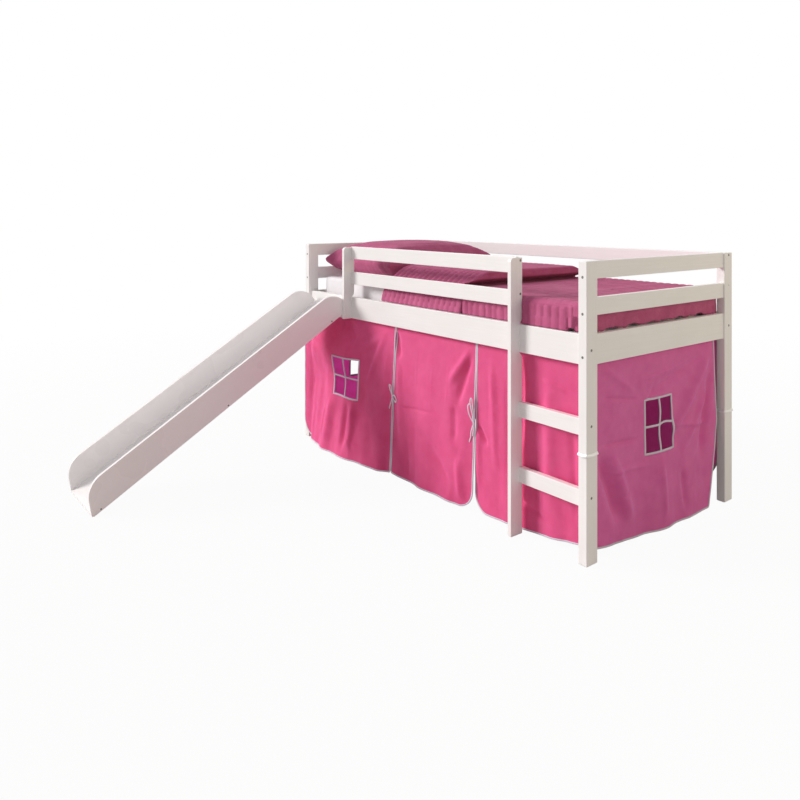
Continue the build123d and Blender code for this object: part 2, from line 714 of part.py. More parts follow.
inner_drape = drape(spread_left, spread_step, upright_back + rest_gap, guarded_channels, 0)
outer_drape = drape(spread_step, spread_right, side_face + spread_side, open_channels, spread_corner)
with BuildPart() as spread:
    add(inner_drape.part)
    add(outer_drape.part)
    with BuildSketch(Plane.YZ.offset(rib_end)):
        with BuildLine():
            hem_far, hem_near = (spread_far, spread_foot_hem), (side_face + spread_side, spread_foot_hem)
            swells(hem_far, hem_near, scallop_count, scallop)
            Polyline(hem_near, (hem_near[0], spread_low), (spread_far, spread_low), hem_far)
        make_face()
    extrude(amount=spread_corner, mode=Mode.SUBTRACT)
    with BuildSketch(Plane.XY.offset(duvet_rest)):
        with Locations((spread_left - spread_tuck / 2, y_middle)):
            Rectangle(spread_tuck, mattress_w)
    extrude(amount=spread_top_t - rest_gap)
save(spread, "bedspread")

# Duvet: every channel is a swelling of the same cross-section, from the pillow to the bedspread.
pillow_left = head_inner + pillow_head_gap
duvet_right = spread_left - duvet_slit
duvet_left = pillow_left + pillow_x + duvet_pillow_gap
duvet_l = duvet_right - duvet_left
duvet_low = spread_low
duvet_rise = mattress_top + duvet_t - duvet_low
duvet_front = side_face + duvet_side
duvet_back = back_face - duvet_side
flap_front = duvet_front + duvet_flap
flap_back = duvet_back - duvet_flap
flap_turn = duvet_rest - duvet_flap_round
turn_front = flap_front + duvet_flap_round
turn_back = flap_back - duvet_flap_round
side_shares = [(0, 0), (0.05, 0.26), (0.25, 0.58), (0.5, 0.81), (0.72, 0.95), (1, 1)]
puff_shares = [(0, 0), (0.28, 1), (0.72, 1)]
duvet_pitch = duvet_l / channel_count
duvet_stations = [(duvet_left + duvet_pitch * (number + along), channel_depth * puff)
                  for number in range(channel_count) for along, puff in puff_shares]
duvet_stations.append((duvet_right, 0))
with BuildPart() as duvet:
    for x, puff in duvet_stations:
        near = [(duvet_front - puff + duvet_run * out, duvet_low + (duvet_rise + puff) * up)
                for out, up in side_shares]
        far = [(duvet_front + duvet_back - y, z) for y, z in near]
        with BuildSketch(Plane.YZ.offset(x)):
            with BuildLine():
                Line(near[0], near[1])
                ThreePointArc(near[1], near[2], near[3])
                ThreePointArc(near[3], near[4], near[5])
                Line(near[5], far[5])
                ThreePointArc(far[5], far[4], far[3])
                ThreePointArc(far[3], far[2], far[1])
                Line(far[1], far[0])
                Polyline(far[0], (flap_back, duvet_low), (flap_back, flap_turn))
                TangentArc((flap_back, flap_turn), (turn_back, duvet_rest), tangent=(0, 1))
                Line((turn_back, duvet_rest), (turn_front, duvet_rest))
                TangentArc((turn_front, duvet_rest), (flap_front, flap_turn), tangent=(-1, 0))
                Polyline((flap_front, flap_turn), (flap_front, duvet_low), near[0])
            make_face()
    loft(ruled=True)
    with BuildSketch(Plane.XZ.offset(-duvet_back - channel_depth)) as profile:
        duvet_h = duvet_rise + channel_depth
        with Locations(((duvet_left + duvet_right) / 2, duvet_low + duvet_h / 2)):
            Rectangle(duvet_l, duvet_h)
        fillet(profile.vertices().group_by(Axis.Y)[-1].sort_by(Axis.X)[0], duvet_head_round)
        fillet(profile.vertices().group_by(Axis.Y)[-1].sort_by(Axis.X)[-1], duvet_nose / 2)
    extrude(amount=duvet_back - duvet_front + channel_depth * 2, mode=Mode.INTERSECT)
    with BuildSketch(Plane.XZ.offset(-flap_back)):
        with BuildLine():
            inner_x = duvet_right - duvet_undercut
            inner_z = spread_high + channel_depth + rest_gap
            nose_z = duvet_low + duvet_rise - duvet_nose
            Polyline((inner_x, mattress_top), (inner_x, inner_z), (duvet_right, nose_z),
                     (duvet_right, mattress_top), close=True)
        make_face()
    extrude(amount=flap_back - flap_front, mode=Mode.SUBTRACT)
save(duvet, "duvet")

# Pillow: drawn-in sides and four tips at its middle, a crown above and a flat rest below.
pillow_shares = [(-1, 0.5, 0.72), (-0.8, 0.7, 0.86), (-0.45, 0.89, 0.95), (-0.15, 0.985, 0.99),
                 (0, 1, 1), (0.15, 0.98, 0.99), (0.45, 0.88, 0.94), (0.75, 0.68, 0.83),
                 (0.93, 0.45, 0.62), (1, 0.18, 0.3)]
pillow_y = y_in_back - pillow_back_gap - y_in_front - pillow_front_gap
pillow_centre = (pillow_left + pillow_x / 2, y_in_front + pillow_front_gap + pillow_y / 2)
pillow_low = mattress_top + rest_gap
with BuildPart() as pillow:
    for height, tip, side in pillow_shares:
        level = pillow_low + pillow_t * (1 + height) / 2
        tip_x, tip_y = pillow_x / 2 * tip, pillow_y / 2 * tip
        side_x, side_y = (pillow_x / 2 - pillow_draw) * side, (pillow_y / 2 - pillow_draw) * side
        with BuildSketch(Plane((*pillow_centre, level))):
            with BuildLine():
                ThreePointArc((tip_x, tip_y), (0, side_y), (-tip_x, tip_y))
                ThreePointArc((-tip_x, tip_y), (-side_x, 0), (-tip_x, -tip_y))
                ThreePointArc((-tip_x, -tip_y), (0, -side_y), (tip_x, -tip_y))
                ThreePointArc((tip_x, -tip_y), (side_x, 0), (tip_x, tip_y))
            make_face()
    loft(ruled=True)
save(pillow, "pillow")
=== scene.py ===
# %% [markdown]
# # A loft bed with a slide, play curtains and bedding
# This lesson dresses the measured frame of a child's loft bed. The wood, the slide and the bolts come
# ready made from the frame and only get their finishes. What is soft is modelled here: curtains with
# bound edges and little windows, bows and post ties, the mattress, the bedspread, the duvet and the
# pillow. Everything is in metres, with the floor at Z 0 and the slide towards -Y.

# %% Load the frame
import bpy
import json
import math
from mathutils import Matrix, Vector, noise


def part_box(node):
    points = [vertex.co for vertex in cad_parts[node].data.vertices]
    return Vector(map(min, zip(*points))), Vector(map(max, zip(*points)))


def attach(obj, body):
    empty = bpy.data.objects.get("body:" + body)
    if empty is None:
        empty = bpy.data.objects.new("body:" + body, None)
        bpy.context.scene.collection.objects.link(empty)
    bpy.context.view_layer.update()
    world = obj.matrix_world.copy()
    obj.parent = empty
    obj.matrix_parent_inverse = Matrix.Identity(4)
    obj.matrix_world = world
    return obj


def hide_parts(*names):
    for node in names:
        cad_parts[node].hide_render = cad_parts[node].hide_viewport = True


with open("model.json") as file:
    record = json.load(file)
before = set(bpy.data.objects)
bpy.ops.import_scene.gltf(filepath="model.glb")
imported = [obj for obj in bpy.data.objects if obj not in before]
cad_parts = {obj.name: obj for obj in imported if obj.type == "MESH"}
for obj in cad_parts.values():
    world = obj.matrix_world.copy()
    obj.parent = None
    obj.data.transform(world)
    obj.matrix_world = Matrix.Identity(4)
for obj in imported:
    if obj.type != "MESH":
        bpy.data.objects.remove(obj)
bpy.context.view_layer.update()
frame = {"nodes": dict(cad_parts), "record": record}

mm = 0.001
scene = bpy.context.scene

# %% [markdown]
# ## Camera
# The photograph was taken from beside the foot end, a little above the top rails, with a level camera,
# so all uprights stay upright. The bed is placed in the picture with a lens shift and not by tilting,
# because a tilt would make the posts lean.

# %% Camera
CAMERA_PLACE = (2.762, -1.912, 1.267)
CAMERA_TURN = (math.radians(90), 0, math.radians(49.9))
bpy.ops.object.select_all(action="DESELECT")
bpy.ops.object.camera_add(location=CAMERA_PLACE, rotation=CAMERA_TURN)
camera = bpy.context.object
camera.name = "photo_camera"
camera.data.sensor_width = 36
camera.data.lens = 33.12
camera.data.shift_x = -0.075
camera.data.shift_y = -0.232
scene.camera = camera
scene.view_settings.view_transform = "Standard"
print("camera", [round(v, 3) for v in camera.location])

# %% [markdown]
# ## Small helpers for finishes
# Paint and cloth colours are read off as hex values in sRGB, while the shader wants linear light, so one
# function turns one into the other. Another adds a node with its settings and its links, which keeps
# each finish short enough to read as a recipe. Two more set the base colour and the relief from a pattern.

# %% Colour and node helpers
def linear(hex_colour):
    """An sRGB hex value as the linear colour that a shader socket takes."""
    parts = [int(hex_colour[i:i + 2], 16) / 255 for i in (1, 3, 5)]
    return [c / 12.92 if c <= 0.04045 else ((c + 0.055) / 1.055) ** 2.4 for c in parts] + [1]


def add_node(finish, kind, inputs=None, **settings):
    """A shader node in a finish, with its settings, and its inputs set or linked."""
    made = finish.node_tree.nodes.new(kind)
    for name, value in settings.items():
        setattr(made, name, value)
    for name, value in (inputs or {}).items():
        if isinstance(value, bpy.types.NodeSocket):
            finish.node_tree.links.new(value, made.inputs[name])
        else:
            made.inputs[name].default_value = value
    return made


def new_finish(name):
    """An empty finish with its shader: returns the material and the Principled node."""
    finish = bpy.data.materials.new(name)
    finish.use_nodes = True
    return finish, finish.node_tree.nodes["Principled BSDF"]


def two_tone(finish, shader, factor, dark, light):
    """Lets the base colour run between two hex colours by a factor from 0 to 1."""
    ramp = add_node(finish, "ShaderNodeValToRGB", {"Fac": factor})
    ramp.color_ramp.elements[0].color = linear(dark)
    ramp.color_ramp.elements[1].color = linear(light)
    finish.node_tree.links.new(ramp.outputs["Color"], shader.inputs["Base Color"])


def raise_relief(finish, shader, height, depth, share):
    """Bump from a height between 0 and 1, as deep as depth in metres."""
    bump = add_node(finish, "ShaderNodeBump", {"Height": height, "Distance": depth, "Strength": share})
    finish.node_tree.links.new(bump.outputs["Normal"], shader.inputs["Normal"])


print("helpers ready")

# %% [markdown]
# ## White lacquered pine
# Posts, boards and rails are solid pine under a satin white lacquer. Lacquer hides the colour of the
# wood but sinks a little along the grain, and it is slightly warmer and thinner on some boards. So the
# finish is a near white with faint streaks that run along each piece, and its relief is a tenth of a
# millimetre. The grain runs three ways on this bed, so the same recipe is made once for each way.

# %% Lacquered wood, one finish for each direction of the grain
GRAIN_WIDTH = 7 * mm        # distance between the grain lines that show through lacquer
GRAIN_RUN = 180 * mm        # how far one grain line runs


def lacquered_pine(name, grain):
    """Satin white lacquer over pine whose grain runs along axis 0, 1 or 2."""
    finish, shader = new_finish(name)
    place = add_node(finish, "ShaderNodeTexCoord").outputs["Object"]
    stretch = [1 / GRAIN_WIDTH] * 3
    stretch[grain] = 1 / GRAIN_RUN
    laid = add_node(finish, "ShaderNodeMapping", {"Vector": place, "Scale": stretch}).outputs["Vector"]
    streaks = add_node(finish, "ShaderNodeTexNoise", {"Vector": laid, "Scale": 1, "Detail": 4})
    clouds = add_node(finish, "ShaderNodeTexNoise", {"Vector": place, "Scale": 5, "Detail": 2})
    both = add_node(finish, "ShaderNodeMath",
                    {0: streaks.outputs["Fac"], 1: clouds.outputs["Fac"]}, operation="MULTIPLY")
    two_tone(finish, shader, both.outputs[0], "#EAE8E6", "#FAF9F8")
    gloss = add_node(finish, "ShaderNodeMapRange",
                     {"Value": streaks.outputs["Fac"], "To Min": 0.32, "To Max": 0.46})
    finish.node_tree.links.new(gloss.outputs["Result"], shader.inputs["Roughness"])
    raise_relief(finish, shader, streaks.outputs["Fac"], 0.1 * mm, 0.5)
    shader.inputs["IOR"].default_value = 1.5
    return finish


pine_along_x = lacquered_pine("white_lacquered_pine_x", 0)
pine_along_y = lacquered_pine("white_lacquered_pine_y", 1)
pine_along_z = lacquered_pine("white_lacquered_pine_z", 2)
print("lacquered pine for", pine_along_x.name, pine_along_y.name, pine_along_z.name)

# %% [markdown]
# ## Lacquered board, bare pine, zinc and hook tape
# The slide is board with a harder, smoother lacquer, which is rubbed shinier in some places than in
# others and has the fine orange peel of a sprayed coat. The slats under the mattress stay bare pine,
# with yellow-brown year rings. The bolts are zinc plated, whose crystals give a dull, spotted shine, and
# the hook tape behind the curtains is a stiff white weave of tiny hooks.

# %% Slide board
PEEL_SCALE = 260            # dimples in a metre, so about 4 mm apart
board_finish, shader = new_finish("white_lacquered_board")
place = add_node(board_finish, "ShaderNodeTexCoord").outputs["Object"]
orange_peel = add_node(board_finish, "ShaderNodeTexNoise",
                       {"Vector": place, "Scale": PEEL_SCALE, "Detail": 2})
clouds = add_node(board_finish, "ShaderNodeTexNoise", {"Vector": place, "Scale": 3, "Detail": 3})
two_tone(board_finish, shader, clouds.outputs["Fac"], "#EFEBEA", "#FBF9F8")
rubbed = add_node(board_finish, "ShaderNodeMapRange",
                  {"Value": clouds.outputs["Fac"], "To Min": 0.2, "To Max": 0.36})
board_finish.node_tree.links.new(rubbed.outputs["Result"], shader.inputs["Roughness"])
raise_relief(board_finish, shader, orange_peel.outputs["Fac"], 0.05 * mm, 0.3)
shader.inputs["Coat Weight"].default_value = 0.15
print("slide finish", board_finish.name)

# %% Bare pine of the slats
RING_WIDTH = 6 * mm
slat_finish, shader = new_finish("bare_pine")
place = add_node(slat_finish, "ShaderNodeTexCoord").outputs["Object"]
laid = add_node(slat_finish, "ShaderNodeMapping",
                {"Vector": place, "Scale": (1 / RING_WIDTH, 1.2, 1 / RING_WIDTH)}).outputs["Vector"]
rings = add_node(slat_finish, "ShaderNodeTexNoise",
                 {"Vector": laid, "Scale": 0.4, "Detail": 5, "Distortion": 0.6})
two_tone(slat_finish, shader, rings.outputs["Fac"], "#B98B57", "#E3C79B")
shader.inputs["Roughness"].default_value = 0.7
raise_relief(slat_finish, shader, rings.outputs["Fac"], 0.2 * mm, 0.5)
print("slat finish", slat_finish.name)

# %% Zinc of the bolts
SPANGLE_SCALE = 900         # crystals in a metre, so about 1 mm apart
bolt_finish, shader = new_finish("zinc_plated_steel")
place = add_node(bolt_finish, "ShaderNodeTexCoord").outputs["Object"]
spangle = add_node(bolt_finish, "ShaderNodeTexNoise", {"Vector": place, "Scale": SPANGLE_SCALE, "Detail": 2})
two_tone(bolt_finish, shader, spangle.outputs["Fac"], "#5F5B57", "#8B8781")
shader.inputs["Metallic"].default_value = 1
shader.inputs["Roughness"].default_value = 0.42
raise_relief(bolt_finish, shader, spangle.outputs["Fac"], 0.03 * mm, 0.4)
print("bolt finish", bolt_finish.name)

# %% Hook tape
HOOK_PITCH = 2 * mm
hook_finish, shader = new_finish("woven_hook_tape")
place = add_node(hook_finish, "ShaderNodeTexCoord").outputs["Object"]
hooks = add_node(hook_finish, "ShaderNodeTexVoronoi", {"Vector": place, "Scale": 1 / HOOK_PITCH})
two_tone(hook_finish, shader, hooks.outputs["Distance"], "#F2F2F2", "#B9B9BB")
shader.inputs["Roughness"].default_value = 0.8
raise_relief(hook_finish, shader, hooks.outputs["Distance"], 0.5 * mm, 0.8)
print("hook tape finish", hook_finish.name)

# %% [markdown]
# ## Cloth finishes
# The curtains are thin pink cotton in plain weave. Each thread goes over and under the next, which two
# crossed waves copy, and threads of uneven thickness leave faint slubs. The real threads are 0.4 mm
# apart, too fine for this picture, so the weave is drawn at 1.5 mm. The pattern follows the cloth's own
# map, laid out in metres, and so it bends with the folds. The sheen is what fine fibres give at a
# grazing angle. Light that goes through the thin cloth is copied by subsurface, and it brightens the
# inside. The end panels are the same cloth, but they get cooler, bluer tones of their own, which are
# painted light for the cool light that falls on the ends. The cloth's reverse gets paler tones of its
# own, which are painted light for the light that comes through the cloth into the bed. The ties round
# the posts are satin ribbon, whose long threads shine more than a plain weave.

# %% Woven cloth
def woven_cloth(name, dark, light, pitch, sheen, rough, mapped=True, glow=0):
    """Plain weave in two tones with threads pitch apart. Glow is the share of light that goes in."""
    finish, shader = new_finish(name)
    coords = add_node(finish, "ShaderNodeTexCoord")
    place = coords.outputs["UV"] if mapped else coords.outputs["Object"]
    warp = add_node(finish, "ShaderNodeTexWave", {"Vector": place, "Scale": 0.5 / pitch, "Distortion": 0},
                    bands_direction="X")
    weft = add_node(finish, "ShaderNodeTexWave", {"Vector": place, "Scale": 0.5 / pitch, "Distortion": 0},
                    bands_direction="Y")
    weave = add_node(finish, "ShaderNodeMath",
                     {0: warp.outputs["Fac"], 1: weft.outputs["Fac"]}, operation="MULTIPLY")
    slubs = add_node(finish, "ShaderNodeTexNoise",
                     {"Vector": place, "Scale": 14, "Detail": 5, "Roughness": 0.6})
    mixed = add_node(finish, "ShaderNodeMath",
                     {0: weave.outputs[0], 1: 0.22, 2: slubs.outputs["Fac"]}, operation="MULTIPLY_ADD")
    two_tone(finish, shader, mixed.outputs[0], dark, light)
    raise_relief(finish, shader, weave.outputs[0], 0.3 * mm, 0.35)
    shader.inputs["Roughness"].default_value = rough
    shader.inputs["Sheen Weight"].default_value = sheen
    shader.inputs["Sheen Roughness"].default_value = 0.4
    shader.inputs["Specular IOR Level"].default_value = 0.25
    if glow:
        shader.inputs["Subsurface Weight"].default_value = glow
        shader.inputs["Subsurface Radius"].default_value = (1, 0.5, 0.8)
        shader.inputs["Subsurface Scale"].default_value = 8 * mm
    return finish


WEAVE = 1.5 * mm            # drawn pitch of the curtains' threads
TAPE_WEAVE = 1.2 * mm       # and of the tapes'
curtain_finish = woven_cloth("pink_plain_cotton", "#EA4A80", "#FD6395", WEAVE, 0.2, 0.85, glow=0.6)
# painted light: the end panels are the same cotton in cooler, bluer tones for the cool light on the ends
end_painted_light_finish = woven_cloth("pink_plain_cotton_end_painted_light", "#E45EA0", "#FA7AB4", WEAVE, 0.3, 0.85, glow=0.7)
# painted light: the reverse is the same cotton in paler tones for the light that comes through the cloth
reverse_painted_light_finish = woven_cloth("pink_plain_cotton_reverse_painted_light", "#E0709F", "#F490BA", WEAVE, 0.3, 0.85, glow=0.8)
for finish in (curtain_finish, end_painted_light_finish, reverse_painted_light_finish):
    finish.node_tree.nodes["Principled BSDF"].inputs["Sheen Tint"].default_value = linear("#C9B8FF")
tape_finish = woven_cloth("white_cotton_tape", "#C4C0CC", "#DEDBE6", TAPE_WEAVE, 0.15, 0.85)
ribbon_finish = woven_cloth("white_satin_ribbon", "#F4F4F6", "#FFFFFF", TAPE_WEAVE, 0.6, 0.35)
satin = ribbon_finish.node_tree.nodes["Principled BSDF"]
satin.inputs["IOR"].default_value = 2.2
satin.inputs["Specular IOR Level"].default_value = 0.5
sheet_finish = woven_cloth("white_jersey_sheet", "#E2DFE2", "#F2F0F2", 2.4 * mm, 0.2, 0.9, mapped=False)
quilt_finish = woven_cloth("plum_quilted_cotton", "#9E3F67", "#C8688F", 2 * mm, 0.06, 0.8, mapped=False)
print("cloth finishes", [finish.name for finish in (curtain_finish, end_painted_light_finish, reverse_painted_light_finish, tape_finish,
                                                    ribbon_finish, sheet_finish, quilt_finish)])

# %% [markdown]
# ## Finishing the ready made nodes
# A node whose shape is right only gets a material. The grain follows the longest side of each piece of
# wood, which its box tells, as a joiner would cut it.

# %% Give each hard node its finish
slots = {part["node"]: part["material_slot"] for part in frame["record"]["subparts"]}
by_slot = {"white_board": board_finish, "bare_pine": slat_finish, "zinc": bolt_finish,
           "hook_tape": hook_finish}
by_grain = [pine_along_x, pine_along_y, pine_along_z]
for node, piece in frame["nodes"].items():
    finish = by_slot.get(slots[node])
    if slots[node] == "white_paint":
        low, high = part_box(node)
        sides = [high[i] - low[i] for i in range(3)]
        finish = by_grain[sides.index(max(sides))]
    if finish:
        piece.data.materials.clear()
        piece.data.materials.append(finish)
print("finished", sum(1 for p in frame["nodes"].values() if p.data.materials), "nodes")

# %% [markdown]
# ## How a hanging cloth is made
# A curtain hangs flat from the hook tape and spreads into folds towards its hem. It could be simulated,
# but then the folds would fall anywhere. Here they have to fall where they do on the real bed, so each
# panel starts as a grid, and every corner of the grid is laid on a wall plane, moved outwards by a wave
# that grows from the heading down to the hem. Creases are added as soft ridges along a line. The grid's
# own map keeps the distance along the cloth and the height, in metres.

# %% A grid laid in place
def choose(piece):
    """Makes the piece the only selected and the active one."""
    bpy.ops.object.select_all(action="DESELECT")
    piece.select_set(True)
    bpy.context.view_layer.objects.active = piece


def merge_points(piece):
    """Merges the corners that lie on one another, as at a seam."""
    choose(piece)
    bpy.ops.object.mode_set(mode="EDIT")
    bpy.ops.mesh.select_all(action="SELECT")
    bpy.ops.mesh.remove_doubles(threshold=0.1 * mm)
    bpy.ops.object.mode_set(mode="OBJECT")


def laid_grid(name, columns, rows, place, mapped=None):
    """A grid primitive whose corner in a column and row is moved to place(column, row)."""
    bpy.ops.object.select_all(action="DESELECT")
    bpy.ops.mesh.primitive_grid_add(x_subdivisions=len(columns) - 1, y_subdivisions=len(rows) - 1, size=2)
    piece = bpy.context.object
    piece.name = piece.data.name = name
    cells = {}
    for vertex in piece.data.vertices:
        column = columns[round((vertex.co.x + 1) / 2 * (len(columns) - 1))]
        row = rows[round((vertex.co.y + 1) / 2 * (len(rows) - 1))]
        cells[vertex.index] = mapped(column, row) if mapped else (column, row)
        vertex.co = place(column, row)
    for loop in piece.data.loops:
        piece.data.uv_layers[0].data[loop.index].uv = cells[loop.vertex_index]
    return piece, cells


def apply_modifier(piece, kind, **settings):
    """Adds a modifier to the piece and applies it at once."""
    choose(piece)
    bpy.ops.object.modifier_add(type=kind)
    modifier = piece.modifiers[-1]
    for name, value in settings.items():
        setattr(modifier, name, value)
    bpy.ops.object.modifier_apply(modifier=modifier.name)


def finish_piece(piece, finish, slot_name, *nodes):
    """Smooth shading, a material unless it has its own, its body and the nodes that it stands for."""
    choose(piece)
    bpy.ops.object.shade_smooth()
    if finish:
        piece.data.materials.clear()
        piece.data.materials.append(finish)
    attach(piece, "root")
    if nodes:
        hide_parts(*nodes)
    print(piece.name, len(piece.data.polygons), "faces")
    return piece


def steps(start, end, pitch):
    """Even places from start up to but not including end, about pitch apart."""
    count = max(1, round(abs(end - start) / pitch))
    return [start + (end - start) * i / count for i in range(count)]


print("cloth helpers ready")

# %% The walls of cloth and their folds
HEM, BOARD, HEADING = 8 * mm, 721 * mm, 750 * mm        # heights: hem, under the board, hook tape's top
CLOTH = 1.4 * mm            # thickness
# Each wall is the plane of one side: where it starts, the way along it, and the way outwards.
foot_wall = (Vector((1.0052, 0.19263, 0)), Vector((0, 1, 0)), Vector((1, 0, 0)))
front_wall = (Vector((-0.9982, 0.17213, 0)), Vector((1, 0, 0)), Vector((0, -1, 0)))
back_wall = (Vector((0.9982, 1.07553, 0)), Vector((-1, 0, 0)), Vector((0, 1, 0)))
head_wall = (Vector((-1.0052, 1.02583, 0)), Vector((0, -1, 0)), Vector((-1, 0, 0)))
FRONT_SPAN, END_SPAN = 1.9964, 0.8332
TURN = 51 * mm              # the left panel comes forward beside the post by this much
WRAP = 32 * mm              # and its free edge then lies in front of the post by this much
TURN_SPAN, WRAP_SPAN = 90 * mm, 150 * mm        # cloth beside its free edge that takes part in each
LEAN_TOP = 366 * mm         # below this height the foot end panel's corner is drawn in
SWELL, RIPPLE = 2.6 * mm, 1.1 * mm              # broad and fine unevenness of the cloth

left_folds = [
    (0, 0.36), (0.11, 0.67), (0.2, 0.76), (0.33, 1.0), (0.45, 0.93), (0.55, 1.0), (0.75, 0.76), (0.9, 0.69),
    (1, 0.34)]
middle_folds = [
    (0, 0.29), (0.14, 0.36), (0.28, 0.33), (0.44, 0.48), (0.6, 0.4), (0.75, 0.44), (0.86, 0.36), (1, 0.23)]
right_folds = [
    (0, 0.1), (0.16, 0.16), (0.28, 0.1), (0.42, -0.01), (0.55, -0.09), (0.7, -0.05), (0.85, -0.2),
    (1, -0.27)]
foot_folds = [
    (0, 0.3), (0.08, 0.45), (0.2, 0.3), (0.33, 0.17), (0.53, 1.0), (0.62, 0.8), (0.72, 0.97), (0.85, 0.75),
    (1, 0.95)]
head_folds = [(1 - along, out) for along, out in reversed(foot_folds)]
back_folds = [
    (0, 0.1), (0.07, 0.4), (0.16, 0.05), (0.27, 0.5), (0.38, 0.15), (0.5, 0.45), (0.6, 0.1), (0.72, 0.5),
    (0.83, 0.12), (0.93, 0.4), (1, 0.1)]


def ease(share):
    """0 below 0, 1 above 1, and a soft S between."""
    share = min(1, max(0, share))
    return 2 * share ** 2 if share < 0.5 else 1 - 2 * (1 - share) ** 2


def wave(folds, share):
    """The reach of the folds at a share of the panel's length."""
    for (a, near), (b, far) in zip(folds, folds[1:]):
        if share <= b:
            return near + (far - near) * ease((share - a) / (b - a))
    return folds[-1][1]


def ridges(lines, s, z):
    """The height of all creases at a place. Each line has its two ends, half width and height."""
    total = 0
    for s0, z0, s1, z1, half, height in lines:
        run_s, run_z = s1 - s0, z1 - z0
        length = math.hypot(run_s, run_z)
        along = ((s - s0) * run_s + (z - z0) * run_z) / length
        across = ((s - s0) * run_z - (z - z0) * run_s) / length
        if abs(across) < half * 3 and 0 < along < length:
            ends = ease(3 * along / length) * ease(3 - 3 * along / length)
            total += height * math.exp(-(across / half) ** 2) * ends
    return total


class Panel:
    """One curtain panel: its start on its wall, length, folds, creases, hem, window and finish.

    Lifts raise the hem's two ends. Draw_in, turn and wrap move a free edge. A window is its place,
    level, width, height and the width of its bars, and sway bends the bars.
    """

    def __init__(self, name, wall, start, length, folds, flare, corners, creases=(), lifts=(0, 0), draw_in=0,
                 turn=0, wrap=0, window=None, sway=(0, 0), seed=0, cell=5 * mm, finish=None):
        self.name, self.wall, self.start, self.length, self.folds = name, wall, start, length, folds
        self.flare, self.corners, self.creases, self.lifts = flare, corners, creases, lifts
        self.draw_in, self.turn, self.window, self.sway, self.seed = draw_in, turn, window, sway, seed
        self.cell, self.wrap, self.finish = cell, wrap, finish or curtain_finish

    def hem(self, s):
        """The height of the hem at a place along the panel, with its rounded ends."""
        left, right = self.corners
        level = HEM + self.lifts[0] * max(0, 1 - 3 * s / self.length)
        level += self.lifts[1] * max(0, 2 * s / self.length - 1)
        if s < left:
            level += left - math.sqrt(max(0, left ** 2 - (left - max(0, s)) ** 2))
        if s > self.length - right:
            level += right - math.sqrt(max(0, right ** 2 - (right - max(0, self.length - s)) ** 2))
        return level

    def lean(self, s, z):
        """How far a place moves back along the panel: its right end leans in, its left end laps the post."""
        leant = self.draw_in * max(0, 1 - (z - HEM) / (LEAN_TOP - HEM)) * ease(2.9 * s / self.length - 1.9)
        return leant + self.wrap * (1 - ease(s / WRAP_SPAN)) * ease((BOARD - 45 * mm - z) / (70 * mm))

    def reach(self, s, z):
        """How far the cloth stands out from its wall. Under the board it is held flat."""
        grow = max(0, 1 - z / BOARD)
        out = self.flare * wave(self.folds, s / self.length) * grow
        out += ridges(self.creases, s, z) * ease((BOARD - z) / (30 * mm))
        if self.turn:
            inward = ease(s / TURN_SPAN)
            out = max(out, self.turn * (1 - inward) * ease((BOARD - z) / (50 * mm)) + out * inward)
        small = noise.noise(Vector((s * 11 + self.seed, z * 3.5, self.seed)))
        tiny = noise.noise(Vector((s * 34, z * 19 + self.seed, self.seed)))
        return out + (SWELL * small + RIPPLE * tiny) * min(1, 5 * grow)

    def at(self, s, z):
        """The point of the cloth at a place along the panel and a height."""
        origin, along, outward = self.wall
        shift_s, shift_z = self.slack(s, z)
        s = s - self.lean(s, z) + shift_s
        out = outward * (self.reach(s, z) - CLOTH)
        return origin + along * (self.start + s) + out + Vector((0, 0, z + shift_z))

    def slack(self, s, z):
        """The sag of the window's cross tapes within the window."""
        if not self.window:
            return 0, 0
        place, level, width, height, bar = self.window
        u, v = (s - place) / width + 0.5, (z - level) / height + 0.5
        if not (0 < u < 1 and 0 < v < 1):
            return 0, 0
        room = math.sin(math.pi * u) * math.sin(math.pi * v)
        return (self.sway[0] * room * math.sin(2 * math.pi * (v - 0.08)),
                self.sway[1] * room * max(0, math.sin(2 * math.pi * (u - 0.5))))


print("walls", [round(FRONT_SPAN, 3), round(END_SPAN, 3)], "hem", HEM, "heading", HEADING)

# %% [markdown]
# ## Making a panel, its binding and its window
# The panel's cloth is cut from the grid: four panes are selected by their place and deleted, and Solidify
# gives the sheet its thickness. White tape is sewn round its edge. A strip of the same grid runs along
# the edge, a little thicker than the cloth so that it wraps both sides, as bias binding does. The window
# has the same tape round its opening, and a cross of tape between the panes.

# %% Cloth, binding and window tapes of one panel
BINDING, WINDOW_TAPE = 6 * mm, 8 * mm
PLAIN_LEVELS = [0.31, 0.4055, 0.4185, 0.514]    # heights where the rows of a plain panel change
HIDDEN_ROWS = [BOARD, 735 * mm, HEADING - 1 * mm]       # behind the board, at the hook tape
TAPE_TOP = BOARD - 2 * mm   # the binding ends just under the board
OVERLAP = 0.7 * mm          # the binding stands out past the edge of the cloth
CORNER_CELL = 4 * mm        # finer squares round the rounded corners


